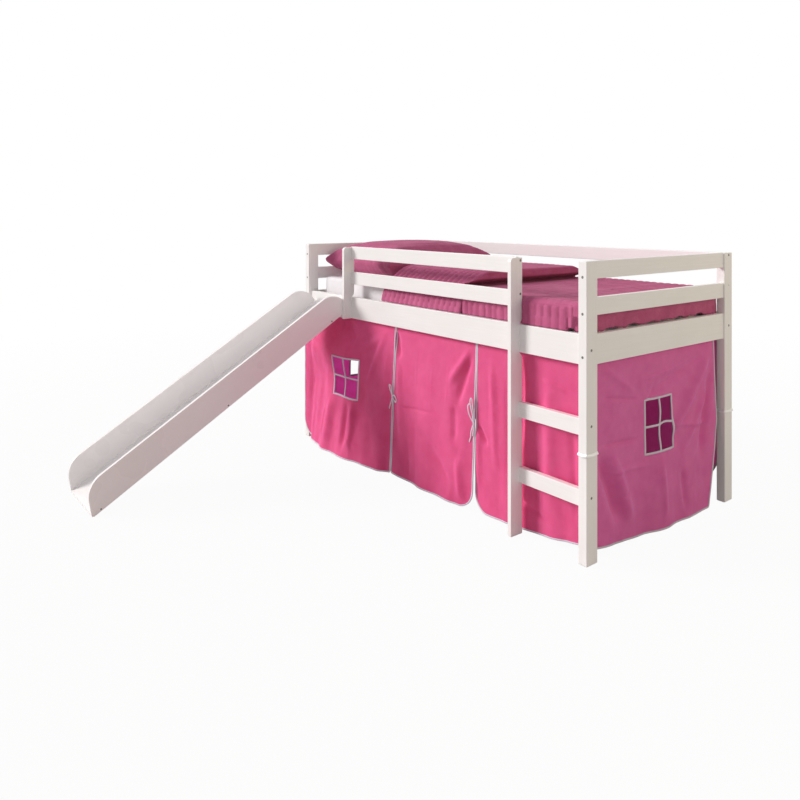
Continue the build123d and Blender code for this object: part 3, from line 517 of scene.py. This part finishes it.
def hang_cloth(panel):
    """The sheet of a panel with its panes cut out."""
    left, right = panel.corners
    keys = [0, left, panel.length - right, panel.length]
    levels = PLAIN_LEVELS
    if panel.window:
        place, level, width, height, bar = panel.window
        keys += [place - width / 2, place - bar / 2, place + bar / 2, place + width / 2]
        levels = [level - height / 2, level - bar / 2, level + bar / 2, level + height / 2]
    levels = levels + [0.62, BOARD]
    keys = sorted(keys)
    columns = []
    for a, b in zip(keys, keys[1:]):
        columns += steps(a, b, min(CORNER_CELL, panel.cell) if a in (0, panel.length - right) else panel.cell)
    columns.append(panel.length)
    low_rows = round(0.3 / panel.cell)
    rows = [-1 + i / low_rows for i in range(low_rows)]
    for a, b in zip(levels, levels[1:]):
        rows += steps(a, b, panel.cell)
    rows += HIDDEN_ROWS

    def height_of(s, row):
        return panel.hem(s) + (levels[0] - panel.hem(s)) * (1 + row) if row < 0 else row

    cloth, cells = laid_grid(panel.name, columns, rows, lambda s, row: panel.at(s, height_of(s, row)),
                             lambda s, row: (s, height_of(s, row)))
    if panel.window:
        place, level, width, height, bar = panel.window
        bpy.ops.object.mode_set(mode="EDIT")
        bpy.ops.mesh.select_all(action="DESELECT")
        bpy.ops.object.mode_set(mode="OBJECT")
        for face in cloth.data.polygons:
            s = sum(cells[v][0] for v in face.vertices) / 4 - place
            z = sum(cells[v][1] for v in face.vertices) / 4 - level
            face.select = bar / 2 < abs(s) < width / 2 and bar / 2 < abs(z) < height / 2
        bpy.ops.object.mode_set(mode="EDIT")
        bpy.ops.mesh.select_mode(type="FACE")
        bpy.ops.mesh.delete(type="FACE")
        bpy.ops.object.mode_set(mode="OBJECT")
    cloth.data.materials.clear()
    cloth.data.materials.append(panel.finish)
    # the inner side gets the paler reverse tones, painted light for light coming through the cloth
    cloth.data.materials.append(reverse_painted_light_finish)
    apply_modifier(cloth, "SOLIDIFY", thickness=CLOTH, offset=0, material_offset=1)
    return cloth


def sew_tape(panel, name, line, width, thick=3.2 * mm, closed=False):
    """A strip of tape along a line of places on the panel, laid to the left of the way."""
    count = len(line)
    sides = []
    for i in range(count):
        before = line[(i - 1) % count] if closed else line[max(0, i - 1)]
        after = line[(i + 1) % count] if closed else line[min(count - 1, i + 1)]
        way = Vector((after[0] - before[0], after[1] - before[1])).normalized()
        sides.append((-way.y, way.x))
    order = list(range(count)) + ([0] if closed else [])
    offsets = [-OVERLAP, width / 3, width * 2 / 3, width]
    if closed:
        offsets = [-width / 2, -width / 6, width / 6, width / 2]

    def spot(i, off):
        s, z = line[order[i]]
        return panel.at(s + sides[order[i]][0] * off, z + sides[order[i]][1] * off)

    tape = laid_grid(name, list(range(len(order))), offsets, spot, lambda i, off: (i * 8 * mm, off))[0]
    if closed:
        merge_points(tape)
    apply_modifier(tape, "SOLIDIFY", thickness=thick, offset=0)
    return finish_piece(tape, tape_finish, "white_tape")


def edge_line(panel):
    """Places along the panel's free edge: down its left side, along the hem and up its right side."""
    line = [(0, z) for z in steps(TAPE_TOP, panel.hem(0), 9 * mm)]
    inner = [0, panel.corners[0], panel.length - panel.corners[1], panel.length]
    for a, b in zip(inner, inner[1:]):
        line += [(s, panel.hem(s)) for s in steps(a, b, 3 * mm if b - a < 0.13 else 8 * mm)]
    rise = panel.hem(panel.length)
    line += [(panel.length, z) for z in steps(rise, TAPE_TOP, 9 * mm)] + [(panel.length, TAPE_TOP)]
    return line


def window_lines(panel):
    """The outline of the window and its two crossing bars."""
    place, level, width, height, bar = panel.window
    x0, x1, z0, z1 = place - width / 2, place + width / 2, level - height / 2, level + height / 2
    outline = []
    corners = [(x0, z0), (x1, z0), (x1, z1), (x0, z1), (x0, z0)]
    for (xa, za), (xb, zb) in zip(corners, corners[1:]):
        for share in steps(0, 1, 0.06):
            outline.append((xa + (xb - xa) * share, za + (zb - za) * share))
    across = [(x, level - bar / 2) for x in steps(x0, x1, 6 * mm)] + [(x1, level - bar / 2)]
    upward = [(place + bar / 2, z) for z in steps(z0, z1, 6 * mm)] + [(place + bar / 2, z1)]
    return outline, across, upward


def make_panel(panel, nodes):
    """The cloth of a panel with everything that is sewn on it."""
    cloth = finish_piece(hang_cloth(panel), None, "pink_cotton", *nodes)
    sewn = [sew_tape(panel, panel.name + "_binding", edge_line(panel), BINDING)]
    if panel.window:
        outline, across, upward = window_lines(panel)
        bar = panel.window[4]
        sewn.append(sew_tape(panel, panel.name + "_window_frame", outline, WINDOW_TAPE, closed=True))
        sewn.append(sew_tape(panel, panel.name + "_window_bar", across, bar, thick=2.6 * mm))
        sewn.append(sew_tape(panel, panel.name + "_window_post", upward, bar, thick=2.9 * mm))
    return cloth, sewn


print("panel makers ready")

# %% [markdown]
# ## The six panels
# The front has three panels that part at two seams, so a child can crawl in between them. Each end has
# one panel with a window, and a plain panel closes the back. The left front panel billows out most, and
# its free edge comes forward and laps the post. At the foot end the packing folds still show as level
# creases, and long shallow folds run down from the top corners to the window and the hem. Each crease is
# a line of numbers: its two ends along the panel and in height, its half width and how far it stands out.

# %% Cut and hang the panels
SEAMS = (FRONT_SPAN * 0.4, FRONT_SPAN * 0.7)
SLIT = 2 * mm
left_creases = [
    (-0.12, 0.54, 0.6, 0.54, 0.11, 0.048), (0.6, 0.45, 0.5, 0.06, 0.05, -0.012),
    (0.44, 0.32, 0.436, 0.02, 0.022, -0.019), (0.49, 0.33, 0.5, 0.03, 0.016, 0.01),
    (0.239, 0.261, 0.218, 0.05, 0.012, 0.006), (0.353, 0.703, 0.502, 0.589, 0.03, -0.012),
    (0.725, 0.668, 0.486, 0.56, 0.02, 0.01), (0.612, 0.311, 0.667, 0.01, 0.04, -0.012),
    (0.74, 0.72, 0.56, 0.33, 0.02, 0.008), (0.3, 0.33, 0.28, 0.01, 0.035, 0.014),
    (0.42, 0.12, 0.62, 0.06, 0.01, 0.004)]
middle_creases = [
    (0.178, 0.654, 0.178, 0.396, 0.004, 0.0013), (0.3, 0.648, 0.3, 0.3, 0.004, 0.0013),
    (0.416, 0.642, 0.409, 0.374, 0.004, 0.0013), (0.054, 0.34, 0.335, 0.364, 0.006, -0.0045),
    (0.586, 0.7, 0.409, 0.494, 0.022, 0.014), (0.575, 0.708, 0.472, 0.409, 0.02, -0.013),
    (0.462, 0.454, 0.475, 0.238, 0.02, -0.009), (0.004, 0.71, 0.04, 0.553, 0.018, -0.013),
    (0.02, 0.6, 0.1, 0.12, 0.024, 0.009), (0.2, 0.3, 0.5, 0.05, 0.03, -0.009),
    (0.5, 0.23, 0.53, 0.02, 0.022, 0.01), (0.12, 0.2, 0.15, 0.01, 0.02, -0.006)]
right_creases = [
    (0.004, 0.378, 0.08, 0.288, 0.012, -0.013), (0.01, 0.4, 0.03, 0.08, 0.02, 0.009),
    (0.09, 0.701, 0.132, 0.171, 0.018, 0.008), (0.175, 0.672, 0.204, 0.149, 0.016, -0.007),
    (0.268, 0.718, 0.257, 0.283, 0.02, -0.011), (0.42, 0.708, 0.409, 0.06, 0.03, 0.011),
    (0.37, 0.63, 0.52, 0.6, 0.008, 0.004), (0.52, 0.56, 0.54, 0.05, 0.02, -0.009),
    (0.2, 0.14, 0.42, 0.07, 0.012, -0.006), (0.33, 0.4, 0.35, 0.05, 0.018, -0.008)]
foot_creases = [
    (0.03, 0.591, 0.311, 0.538, 0.007, -0.009), (0.3, 0.612, 0.56, 0.64, 0.007, 0.0075),
    (0.024, 0.409, 0.317, 0.385, 0.008, -0.0105), (0.486, 0.406, 0.801, 0.365, 0.008, 0.009),
    (0.82, 0.69, 0.45, 0.34, 0.022, 0.024), (0.826, 0.674, 0.285, 0.542, 0.02, -0.0105),
    (0.81, 0.633, 0.69, 0.2, 0.022, -0.018), (0.815, 0.56, 0.56, 0.28, 0.016, 0.012),
    (0.035, 0.4, 0.19, 0.05, 0.03, -0.03), (0.1, 0.4, 0.26, 0.04, 0.026, 0.018),
    (0.05, 0.3, 0.4, 0.27, 0.007, 0.0075), (0.14, 0.18, 0.23, 0.2, 0.007, -0.0075),
    (0.048, 0.709, 0.292, 0.56, 0.016, 0.009), (0.42, 0.3, 0.43, 0.02, 0.016, 0.0105),
    (0.56, 0.24, 0.58, 0.02, 0.018, -0.012), (0.34, 0.52, 0.4, 0.58, 0.01, -0.006)]
head_creases = [(0.1, 0.7, 0.3, 0.3, 0.02, 0.005), (0.75, 0.7, 0.5, 0.2, 0.02, -0.006)]
back_creases = [(0.3, 0.7, 0.5, 0.2, 0.03, 0.006), (1.4, 0.7, 1.2, 0.1, 0.03, -0.006)]
FRONT_FLARE, END_FLARE = 110 * mm, 35 * mm      # how far the widest fold stands out at the floor
SEAM_CORNER, SMALL_CORNER = 77 * mm, 10 * mm
EDGE_GAP = 2 * mm           # the left panel starts this far inside the end of its wall

panels = {
    "curtain_front_left": Panel(
        "front_left_cloth", front_wall, EDGE_GAP, SEAMS[0] - SLIT / 2 - EDGE_GAP, left_folds, FRONT_FLARE,
        (0.115, SMALL_CORNER), left_creases, turn=TURN, wrap=WRAP,
        window=(0.413, 0.412, 0.214, 0.204, 0.008), sway=(0.003, 0.003), seed=1.5),
    "curtain_front_middle": Panel(
        "front_middle_cloth", front_wall, SEAMS[0] + SLIT / 2, SEAMS[1] - SEAMS[0] - SLIT, middle_folds,
        FRONT_FLARE, (SMALL_CORNER, SEAM_CORNER), middle_creases, seed=4.5),
    "curtain_front_right": Panel(
        "front_right_cloth", front_wall, SEAMS[1] + SLIT / 2, FRONT_SPAN - SEAMS[1] - SLIT / 2, right_folds,
        FRONT_FLARE, (SEAM_CORNER, SMALL_CORNER), right_creases, lifts=(0, 0.030), seed=7.5),
    # the two end panels take the end tones, painted light for the cooler light on the ends
    "curtain_foot_end": Panel(
        "foot_end_cloth", foot_wall, 0, END_SPAN, foot_folds, END_FLARE, (SMALL_CORNER, SMALL_CORNER),
        foot_creases, lifts=(0.030, 0), draw_in=0.083, window=(0.414, 0.424, 0.172, 0.214, 0.008),
        sway=(-0.008, 0.009), seed=10.5, finish=end_painted_light_finish),
    "curtain_head_end": Panel(
        "head_end_cloth", head_wall, 0, END_SPAN, head_folds, END_FLARE, (SMALL_CORNER, SMALL_CORNER),
        head_creases, window=(0.533, 0.412, 0.172, 0.204, 0.008), sway=(0.004, -0.005), seed=13.5,
        finish=end_painted_light_finish),
    "curtain_back": Panel(
        "back_cloth", back_wall, 0, FRONT_SPAN, back_folds, END_FLARE, (0.120, 0.120), back_creases,
        lifts=(0.070, 0), seed=16.5, cell=10 * mm),
}
hung = {node: make_panel(panel, [node]) for node, panel in panels.items()}
print("panels hung:", [cloth.name for cloth, sewn in hung.values()])

# %% [markdown]
# ## Bows at the front seams
# Narrow tapes sewn to both panels are tied in a bow at each front seam. A bow is a flat tape that lies
# on the cloth: two loops, two tails and a small knot. Each run is a strip of grid that follows a smooth
# line through a few points, a little in front of the cloth. The points are given from the knot: to the
# right, upwards and towards the viewer.

# %% Tie the bows
BOW_TAPE, KNOT = 6.5 * mm, 5 * mm               # width of the tape and radius of the knot
THIN_TAPE = 0.9 * mm


def smooth_line(points, each=6):
    """Points on a soft line through the given ones."""
    ends = [points[0]] + points + [points[-1]]
    line = []
    for p0, p1, p2, p3 in zip(ends, ends[1:], ends[2:], ends[3:]):
        for i in range(each):
            t = i / each
            line.append(0.5 * (2 * p1 + (p2 - p0) * t + (2 * p0 - 5 * p1 + 4 * p2 - p3) * t ** 2
                               + (3 * p1 - p0 - 3 * p2 + p3) * t ** 3))
    return line + [points[-1]]


def tie_tape(name, points, width, outward):
    """A flat tape along a smooth line, facing outward and a little wavy."""
    line = smooth_line([Vector(p) for p in points])

    def spot(i, off):
        way = (line[min(len(line) - 1, i + 1)] - line[max(0, i - 1)]).normalized()
        return line[i] + way.cross(outward).normalized() * off + outward * 0.4 * mm * math.sin(i * 0.9)

    tape = laid_grid(name, list(range(len(line))), [-width / 2, 0, width / 2], spot,
                     lambda i, off: (i * 5 * mm, off))[0]
    apply_modifier(tape, "SOLIDIFY", thickness=THIN_TAPE, offset=0)
    return finish_piece(tape, tape_finish, "white_tape")


def tie_bow(name, s, level, loops, tails):
    """A bow whose knot is at a place on the front wall, with loops and tails given round the knot."""
    panel = panels["curtain_front_middle"]
    cloth_y = panel.at(0 if s == SEAMS[0] else panel.length, level).y
    knot = Vector((front_wall[0].x + s, cloth_y - 4 * mm, level))
    parts = []
    for number, run in enumerate(loops + tails):
        points = [knot + Vector((x, -lift, z)) for x, z, lift in run]
        parts.append(tie_tape(f"{name}_tape_{number + 1}", points, BOW_TAPE, front_wall[2]))
    bpy.ops.object.select_all(action="DESELECT")
    bpy.ops.mesh.primitive_uv_sphere_add(segments=14, ring_count=8, radius=KNOT, location=(0, 0, 0))
    lump = bpy.context.object
    lump.name = lump.data.name = name + "_knot"
    for vertex in lump.data.vertices:
        pinch = 1 + 0.25 * math.sin(vertex.co.z / KNOT * 4)
        vertex.co = knot + Vector((vertex.co.x * pinch, vertex.co.y * 0.7 - 3 * mm, vertex.co.z * 1.3))
    parts.append(finish_piece(lump, tape_finish, "white_tape"))
    return parts


left_bow = tie_bow(
    "left_seam_bow", SEAMS[0], 0.376,
    [[(0, 0, .001), (.020, .012, .006), (.040, -.004, .009), (.030, -.020, .006), (0, 0, .003)],
     [(0, 0, .001), (-.012, .030, .006), (-.020, .055, .008), (-.006, .050, .006), (0, 0, .003)]],
    [[(0, 0, .002), (-.010, -.030, .005), (-.026, -.062, .004)],
     [(0, 0, .002), (.004, -.030, .005), (-.002, -.090, .004), (.002, -.130, .003)]])
right_bow = tie_bow(
    "right_seam_bow", SEAMS[1], 0.375,
    [[(0, 0, .001), (-.022, .030, .007), (-.030, .070, .010), (-.014, .075, .007), (0, 0, .003)],
     [(0, 0, .001), (-.006, .040, .006), (-.018, .090, .008), (-.008, .100, .006), (0, 0, .003)]],
    [[(0, 0, .002), (-.012, -.030, .005), (-.018, -.060, .004), (-.028, -.085, .003)],
     [(0, 0, .002), (-.002, -.035, .004), (-.006, -.055, .003)]])
print("bows of", len(left_bow) + len(right_bow), "pieces")

# %% [markdown]
# ## Ties round the posts
# A satin ribbon goes once round each post. It is slack, so it dips a little on each face, and its lower
# edge stands out while the upper one lies close to the lacquer. The ribbon is a closed strip of grid
# that follows the rounded outline of the post.

# %% Tie the ribbons round the posts
RIBBON_EDGES = [-5.5 * mm, -1.8 * mm, 1.8 * mm, 5.5 * mm]
DIP = 3 * mm                # slack in the middle of each face


def post_outline(low, high, corner=2.5 * mm, clear=1.0 * mm):
    """Points round a post with rounded corners, clear of its faces, each with its share of the slack."""
    points = []
    x0, x1, y0, y1 = low[0] - clear, high[0] + clear, low[1] - clear, high[1] + clear
    turn = corner + clear
    for cx, cy, a in ((x1 - turn, y0 + turn, -90), (x1 - turn, y1 - turn, 0),
                      (x0 + turn, y1 - turn, 90), (x0 + turn, y0 + turn, 180)):
        for i in range(5):
            angle = math.radians(a + 22.5 * i)
            points.append((cx + turn * math.cos(angle), cy + turn * math.sin(angle), 0))
        end = math.radians(a + 90)
        span = (y1 - y0 if a in (-90, 90) else x1 - x0) - 2 * turn
        for i in range(1, 8):
            share = i / 8
            points.append((cx + turn * math.cos(end) - math.sin(end) * span * share,
                           cy + turn * math.sin(end) + math.cos(end) * span * share,
                           math.sin(math.pi * share)))
    return points


for side in ("front", "back"):
    for hand in ("left", "right"):
        node = f"curtain_tie_{side}_{hand}"
        low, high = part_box(f"post_{side}_{hand}")
        ring = post_outline(low, high)
        centre = [(low[i] + high[i]) / 2 for i in range(2)]
        middle = (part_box(node)[0][2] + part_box(node)[1][2]) / 2

        def spot(i, off):
            x, y, slack = ring[i % len(ring)]
            out = Vector((x - centre[0], y - centre[1], 0)).normalized() * (1.8 * mm - off * 0.5)
            return Vector((x, y, middle + 2 * mm - DIP * slack + off)) + out

        band = laid_grid(f"post_tie_{side}_{hand}", list(range(len(ring) + 1)), RIBBON_EDGES, spot,
                         lambda i, off: (i * 5 * mm, off))[0]
        merge_points(band)
        apply_modifier(band, "SOLIDIFY", thickness=THIN_TAPE, offset=0)
        finish_piece(band, ribbon_finish, "white_tape", node)
print("post ties done")

# %% [markdown]
# ## Bedding
# The mattress, bedspread, duvet and pillow are padded, so none of their edges is sharp and no face is
# quite flat. The frame has their right places and rough forms. Each one starts as a copy of its rough
# form, is remeshed into small even squares and relaxed, and gets its sewn channels and puckers last,
# since a remesh would lose them. Each vertex is moved along its normal by a small recipe for that piece.

# %% Helpers for padded pieces
CHANNEL = 38.5 * mm         # distance between two seams of the quilting


def soft_copy(node, name, voxel):
    """A merged and evenly remeshed copy of a node's form."""
    source = frame["nodes"][node]
    piece = source.copy()
    piece.data = source.data.copy()
    piece.name = piece.data.name = name
    scene.collection.objects.link(piece)
    piece.parent = None
    merge_points(piece)
    piece.data.remesh_voxel_size = voxel
    bpy.ops.object.voxel_remesh()
    return piece


def relax(piece, times, share=0.5):
    """Smooths the piece a few times."""
    apply_modifier(piece, "SMOOTH", iterations=times, factor=share)


def shape_by(piece, amount):
    """Moves each point along its normal by amount(point, normal)."""
    moves = [vertex.normal.copy() * amount(vertex.co, vertex.normal) for vertex in piece.data.vertices]
    for vertex, move in zip(piece.data.vertices, moves):
        vertex.co += move


def channels(x, phase):
    """Height of the quilting: 0 at a seam and 1 in the middle of a channel."""
    share = ((x - phase) / CHANNEL) % 1
    return math.sqrt(math.sin(math.pi * share))


def puckers(point, phase, step=55):
    """Small gathers that run out of each seam."""
    share = ((point.x - phase) / CHANNEL) % 1
    near = max(0, 1 - 3.2 * min(share, 1 - share))
    return near * noise.noise(Vector((point.x * 9, point.y * step, point.z * step)))


print("padding helpers ready, channels every", CHANNEL, "m")

# %% [markdown]
# ## Mattress
# A foam mattress in a white fitted sheet. It is a block with rounded corners, but the cover pulls tight
# across the top and leaves a soft crown, and the sheet is gathered a little below the corners.

# %% Mattress
mattress = soft_copy("mattress", "mattress_in_sheet", 12 * mm)
relax(mattress, 3)
m_low, m_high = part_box("mattress")
m_mid = [(m_low[i] + m_high[i]) / 2 for i in range(3)]
m_half = [(m_high[i] - m_low[i]) / 2 for i in range(3)]


def sheet_pull(point, normal):
    """A slight hollow towards the rim, and gathers at the corners."""
    across = abs(point.y - m_mid[1]) / m_half[1]
    along = abs(point.x - m_mid[0]) / m_half[0]
    corner = ease((across - 0.8) * 5) * ease((along - 0.88) * 8) * (1 - abs(normal.z))
    fold = noise.noise(Vector((point.x * 60, point.y * 60, point.z * 6)))
    soft = noise.noise(Vector((point.x * 6, point.y * 8, point.z * 4)))
    return -1.2 * mm + corner * fold * 1.2 * mm + soft * 0.8 * mm


shape_by(mattress, sheet_pull)
finish_piece(mattress, sheet_finish, "mattress_cover", "mattress")

# %% [markdown]
# ## Bedspread
# The bedspread covers the foot half, quilted in channels that run across the bed and down its sides. It
# is thin, so its channels are shallow, with a sharp seam between them and fine gathers along each seam.
# At the foot end the channels go on down the hanging face, where the hem ends in a frill, and the two
# corners are rounded outwards.

# %% Bedspread
spread = soft_copy("bedspread", "quilted_bedspread", 5 * mm)
relax(spread, 4)
s_low, s_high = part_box("bedspread")
SPREAD_PHASE = s_low[0] + 100 * mm
SPREAD_CORNER = 80 * mm     # size of the rounded corners at the foot end
FRILL_TOP = 0.895           # height below which the hem is frilled


def spread_swell(point, normal):
    """Channels with fine gathers, deeper on the sides that hang free."""
    if point.x < SPREAD_PHASE:
        return 0
    outside = ease((point.z - 0.925) * 60) if abs(normal.z) > 0.5 else 1
    hang = ease(normal.x * 2 - 0.6)
    along = point + Vector((s_high[2] - point.z, 0, 0)) * hang
    lively = noise.noise(Vector((point.x * 5, point.y * 5, 2))) * 1.6 * mm
    return outside * (1 + hang) * (1.6 * mm * (channels(along.x, SPREAD_PHASE) - 0.75)
                                   + 1.1 * mm * puckers(along, SPREAD_PHASE) + lively)


shape_by(spread, spread_swell)
for vertex in spread.data.vertices:
    place = vertex.co.copy()
    side = 1 if place.y > (s_low[1] + s_high[1]) / 2 else -1
    round_x = place.x - (s_high[0] - SPREAD_CORNER)
    round_y = side * (place.y - (s_high[1] if side > 0 else s_low[1])) + SPREAD_CORNER
    if round_x > 0 and round_y > 0:
        away = Vector((round_x, side * round_y, 0)).normalized()
        vertex.co += away * 12 * mm * away.x * abs(away.y)
    if round_x > 30 * mm and place.z < FRILL_TOP:
        low = ease((FRILL_TOP - place.z) / (40 * mm))
        frill = noise.noise(Vector((place.y * 21, 3, 0.5)))
        frill += 0.5 * noise.noise(Vector((place.y * 55, 9, 0.5)))
        vertex.co.z -= low * (7 + 9 * frill) * mm
        vertex.co.x += low * (1 + 5 * noise.noise(Vector((place.y * 30, 5, 0.5)))) * mm
finish_piece(spread, quilt_finish, "plum_quilt", "bedspread")

# %% [markdown]
# ## Duvet
# The duvet lies between the pillow and the bedspread. It is filled with down, so it stands higher than
# the bedspread, and its channels are fuller.

# %% Duvet
duvet = soft_copy("duvet", "quilted_duvet", 6 * mm)
relax(duvet, 6)
d_low, d_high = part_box("duvet")
DUVET_PHASE = d_low[0]


def duvet_swell(point, normal):
    """Full channels, gathers and a lively surface."""
    outside = 1 if normal.z > -0.3 else 0
    lively = noise.noise(Vector((point.x * 4.5, point.y * 4.5, 7))) * 2.5 * mm
    return outside * (2.4 * mm * (channels(point.x, DUVET_PHASE) - 0.7)
                      + 1.6 * mm * puckers(point, DUVET_PHASE, 42) + lively)


shape_by(duvet, duvet_swell)
finish_piece(duvet, quilt_finish, "plum_quilt", "duvet")

# %% [markdown]
# ## Pillow
# A large square pillow with four tips. A filled case pulls in between its tips and wrinkles towards
# them, which is hard to draw by hand, so Blender's cloth blows it up: the copy starts a little smaller,
# is filled by pressure without gravity for a few frames, and the result is kept. A corner that strays
# too far from its place is held back, so that the pillow keeps its size.

# %% Pillow
pillow = soft_copy("pillow", "quilted_pillow", 8 * mm)
p_low, p_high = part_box("pillow")
p_mid = Vector([(p_low[i] + p_high[i]) / 2 for i in range(3)])
FRAMES, START_SHARE, STRAY = 20, 0.97, 14 * mm
start = [vertex.co.copy() for vertex in pillow.data.vertices]
for vertex in pillow.data.vertices:
    vertex.co = p_mid + (vertex.co - p_mid) * START_SHARE
choose(pillow)
bpy.ops.object.modifier_add(type="CLOTH")
cloth = pillow.modifiers[-1]
cloth.settings.quality = 6
cloth.settings.mass = 0.3
cloth.settings.tension_stiffness = 15
cloth.settings.compression_stiffness = 15
cloth.settings.bending_stiffness = 0.5
cloth.settings.use_pressure = True
cloth.settings.uniform_pressure_force = 4
cloth.settings.effector_weights.gravity = 0
cloth.point_cache.frame_start, cloth.point_cache.frame_end = 1, FRAMES
for number in range(1, FRAMES + 1):
    scene.frame_set(number)
bpy.ops.object.modifier_apply(modifier=cloth.name)
scene.frame_set(1)
for vertex, home in zip(pillow.data.vertices, start):
    move = vertex.co - home
    if move.length > STRAY:
        move = move.normalized() * STRAY
    vertex.co = home + move
relax(pillow, 2)
apply_modifier(pillow, "SUBSURF", levels=1, render_levels=1)
PILLOW_PHASE = p_low[0]


def pillow_swell(point, normal):
    """Channels and wrinkles that run towards the tips, flat below where it rests."""
    out = Vector(((point.x - p_mid.x) / (p_high[0] - p_mid.x), (point.y - p_mid.y) / (p_high[1] - p_mid.y)))
    tips = ease((abs(out.x) + abs(out.y) - 1.1) * 1.6)
    turn = math.atan2(out.y, out.x)
    wrinkle = noise.noise(Vector((turn * 9, out.length * 1.5, normal.z))) * tips
    return (1.3 * mm * (channels(point.x, PILLOW_PHASE) - 0.7) + 0.8 * mm * puckers(point, PILLOW_PHASE)
            + 3.0 * mm * wrinkle)


shape_by(pillow, pillow_swell)
floor_of_pillow = p_low[2] + 0.5 * mm
for vertex in pillow.data.vertices:
    vertex.co.z = max(vertex.co.z, floor_of_pillow)
finish_piece(pillow, quilt_finish, "plum_quilt", "pillow")

# %% [markdown]
# ## Cut sizes of the curtains
# Each panel is cut from a plain rectangle of cloth. The folds and the turned edge take up a little more
# than the length of its heading, and the height is from the hem to the top of the hook tape.

cut_height = HEADING - HEM
FOLDS_TAKE = 20 * mm        # length of cloth that the folds take up
for node, (cloth, sewn) in hung.items():
    panel = panels[node]
    cut_width = panel.length + panel.turn + FOLDS_TAKE
    cut_area = cut_width * cut_height
    if panel.window:
        cut_area -= (panel.window[2] - panel.window[4]) * (panel.window[3] - panel.window[4])
    print(cloth.name, "cut", round(cut_width, 3), "x", round(cut_height, 3))

# %% [markdown]
# ## Floor, light and background
# The bed stands on a plain white floor in soft light, as in a catalogue. The key is a wide, low sun from
# the front and the head end, which gives the folds their shape. A faint lamp hangs over the bed, a warm
# one stands beside the foot end, and the sky gives the rest. To the camera the floor and the sky are
# white by their materials and not by more light, and the floor keeps a little of the bed's shadow.

# %% Floor and sky
bpy.ops.object.select_all(action="DESELECT")
bpy.ops.mesh.primitive_plane_add(size=40, location=(0, 0, -0.0005))
floor = bpy.context.object
floor.name = "studio_floor"


def as_backdrop(owner):
    """1 where a material is seen, mirrored or seen through glass, and 0 where it lights other things."""
    seen = add_node(owner, "ShaderNodeLightPath").outputs
    either = add_node(owner, "ShaderNodeMath", {0: seen["Is Camera Ray"], 1: seen["Is Glossy Ray"]},
                      operation="MAXIMUM")
    return add_node(owner, "ShaderNodeMath", {0: either.outputs[0], 1: seen["Is Transmission Ray"]},
                    operation="MAXIMUM").outputs[0]


floor_finish, shader = new_finish("matt_white_floor")
shader.inputs["Base Color"].default_value = linear("#C6C2BD")
shader.inputs["Roughness"].default_value = 0.9
place = add_node(floor_finish, "ShaderNodeTexCoord").outputs["Object"]
away = add_node(floor_finish, "ShaderNodeVectorMath", {0: place}, operation="LENGTH")
far = add_node(floor_finish, "ShaderNodeMapRange",
               {"Value": away.outputs["Value"], "From Min": 1.6, "From Max": 6, "To Min": 0.955, "To Max": 1})
share = add_node(floor_finish, "ShaderNodeMath", {0: as_backdrop(floor_finish), 1: far.outputs["Result"]},
                 operation="MULTIPLY")
white = add_node(floor_finish, "ShaderNodeEmission", {"Color": (1, 1, 1, 1), "Strength": 1})
blend = add_node(floor_finish, "ShaderNodeMixShader",
                 {0: share.outputs[0], 1: shader.outputs["BSDF"], 2: white.outputs["Emission"]})
floor_finish.node_tree.links.new(blend.outputs["Shader"],
                                 floor_finish.node_tree.nodes["Material Output"].inputs["Surface"])
floor.data.materials.append(floor_finish)

sky = bpy.data.worlds.new("studio_sky")
scene.world = sky
sky.use_nodes = True
lighting = sky.node_tree.nodes["Background"]
lighting.inputs["Color"].default_value = linear("#F1EDF1")
lighting.inputs["Strength"].default_value = 0.5
white = add_node(sky, "ShaderNodeBackground", {"Color": (1, 1, 1, 1), "Strength": 1})
blend = add_node(sky, "ShaderNodeMixShader",
                 {0: as_backdrop(sky), 1: lighting.outputs["Background"], 2: white.outputs["Background"]})
sky.node_tree.links.new(blend.outputs["Shader"], sky.node_tree.nodes["World Output"].inputs["Surface"])
print("floor and sky ready")

# %% Lamps
def add_lamp(name, kind, place, towards, power, colour):
    """A lamp that looks from its place to a point."""
    bpy.ops.object.select_all(action="DESELECT")
    bpy.ops.object.light_add(type=kind, location=place)
    lamp = bpy.context.object
    lamp.name = name
    lamp.data.energy = power
    lamp.data.color = linear(colour)[:3]
    lamp.rotation_euler = (Vector(towards) - Vector(place)).to_track_quat("-Z", "Y").to_euler()
    return lamp


key = add_lamp("key_lamp", "SUN", (-3, -3, 3), (-2.337, -2.382, 2.577), 2.8, "#FFFCFA")
key.data.angle = math.radians(22)
top = add_lamp("top_lamp", "AREA", (-0.4, 0.2, 4.2), (0, 0.4, 0.5), 6, "#FFFFFF")
foot = add_lamp("foot_lamp", "AREA", (3.8, 1.9, 2.0), (1, 0.6, 0.5), 21, "#FFEDB0")
for lamp, size in ((top, 3.0), (foot, 1.2)):
    lamp.data.shape = "SQUARE"
    lamp.data.size = size
print("lamps", [lamp.name for lamp in (key, top, foot)])
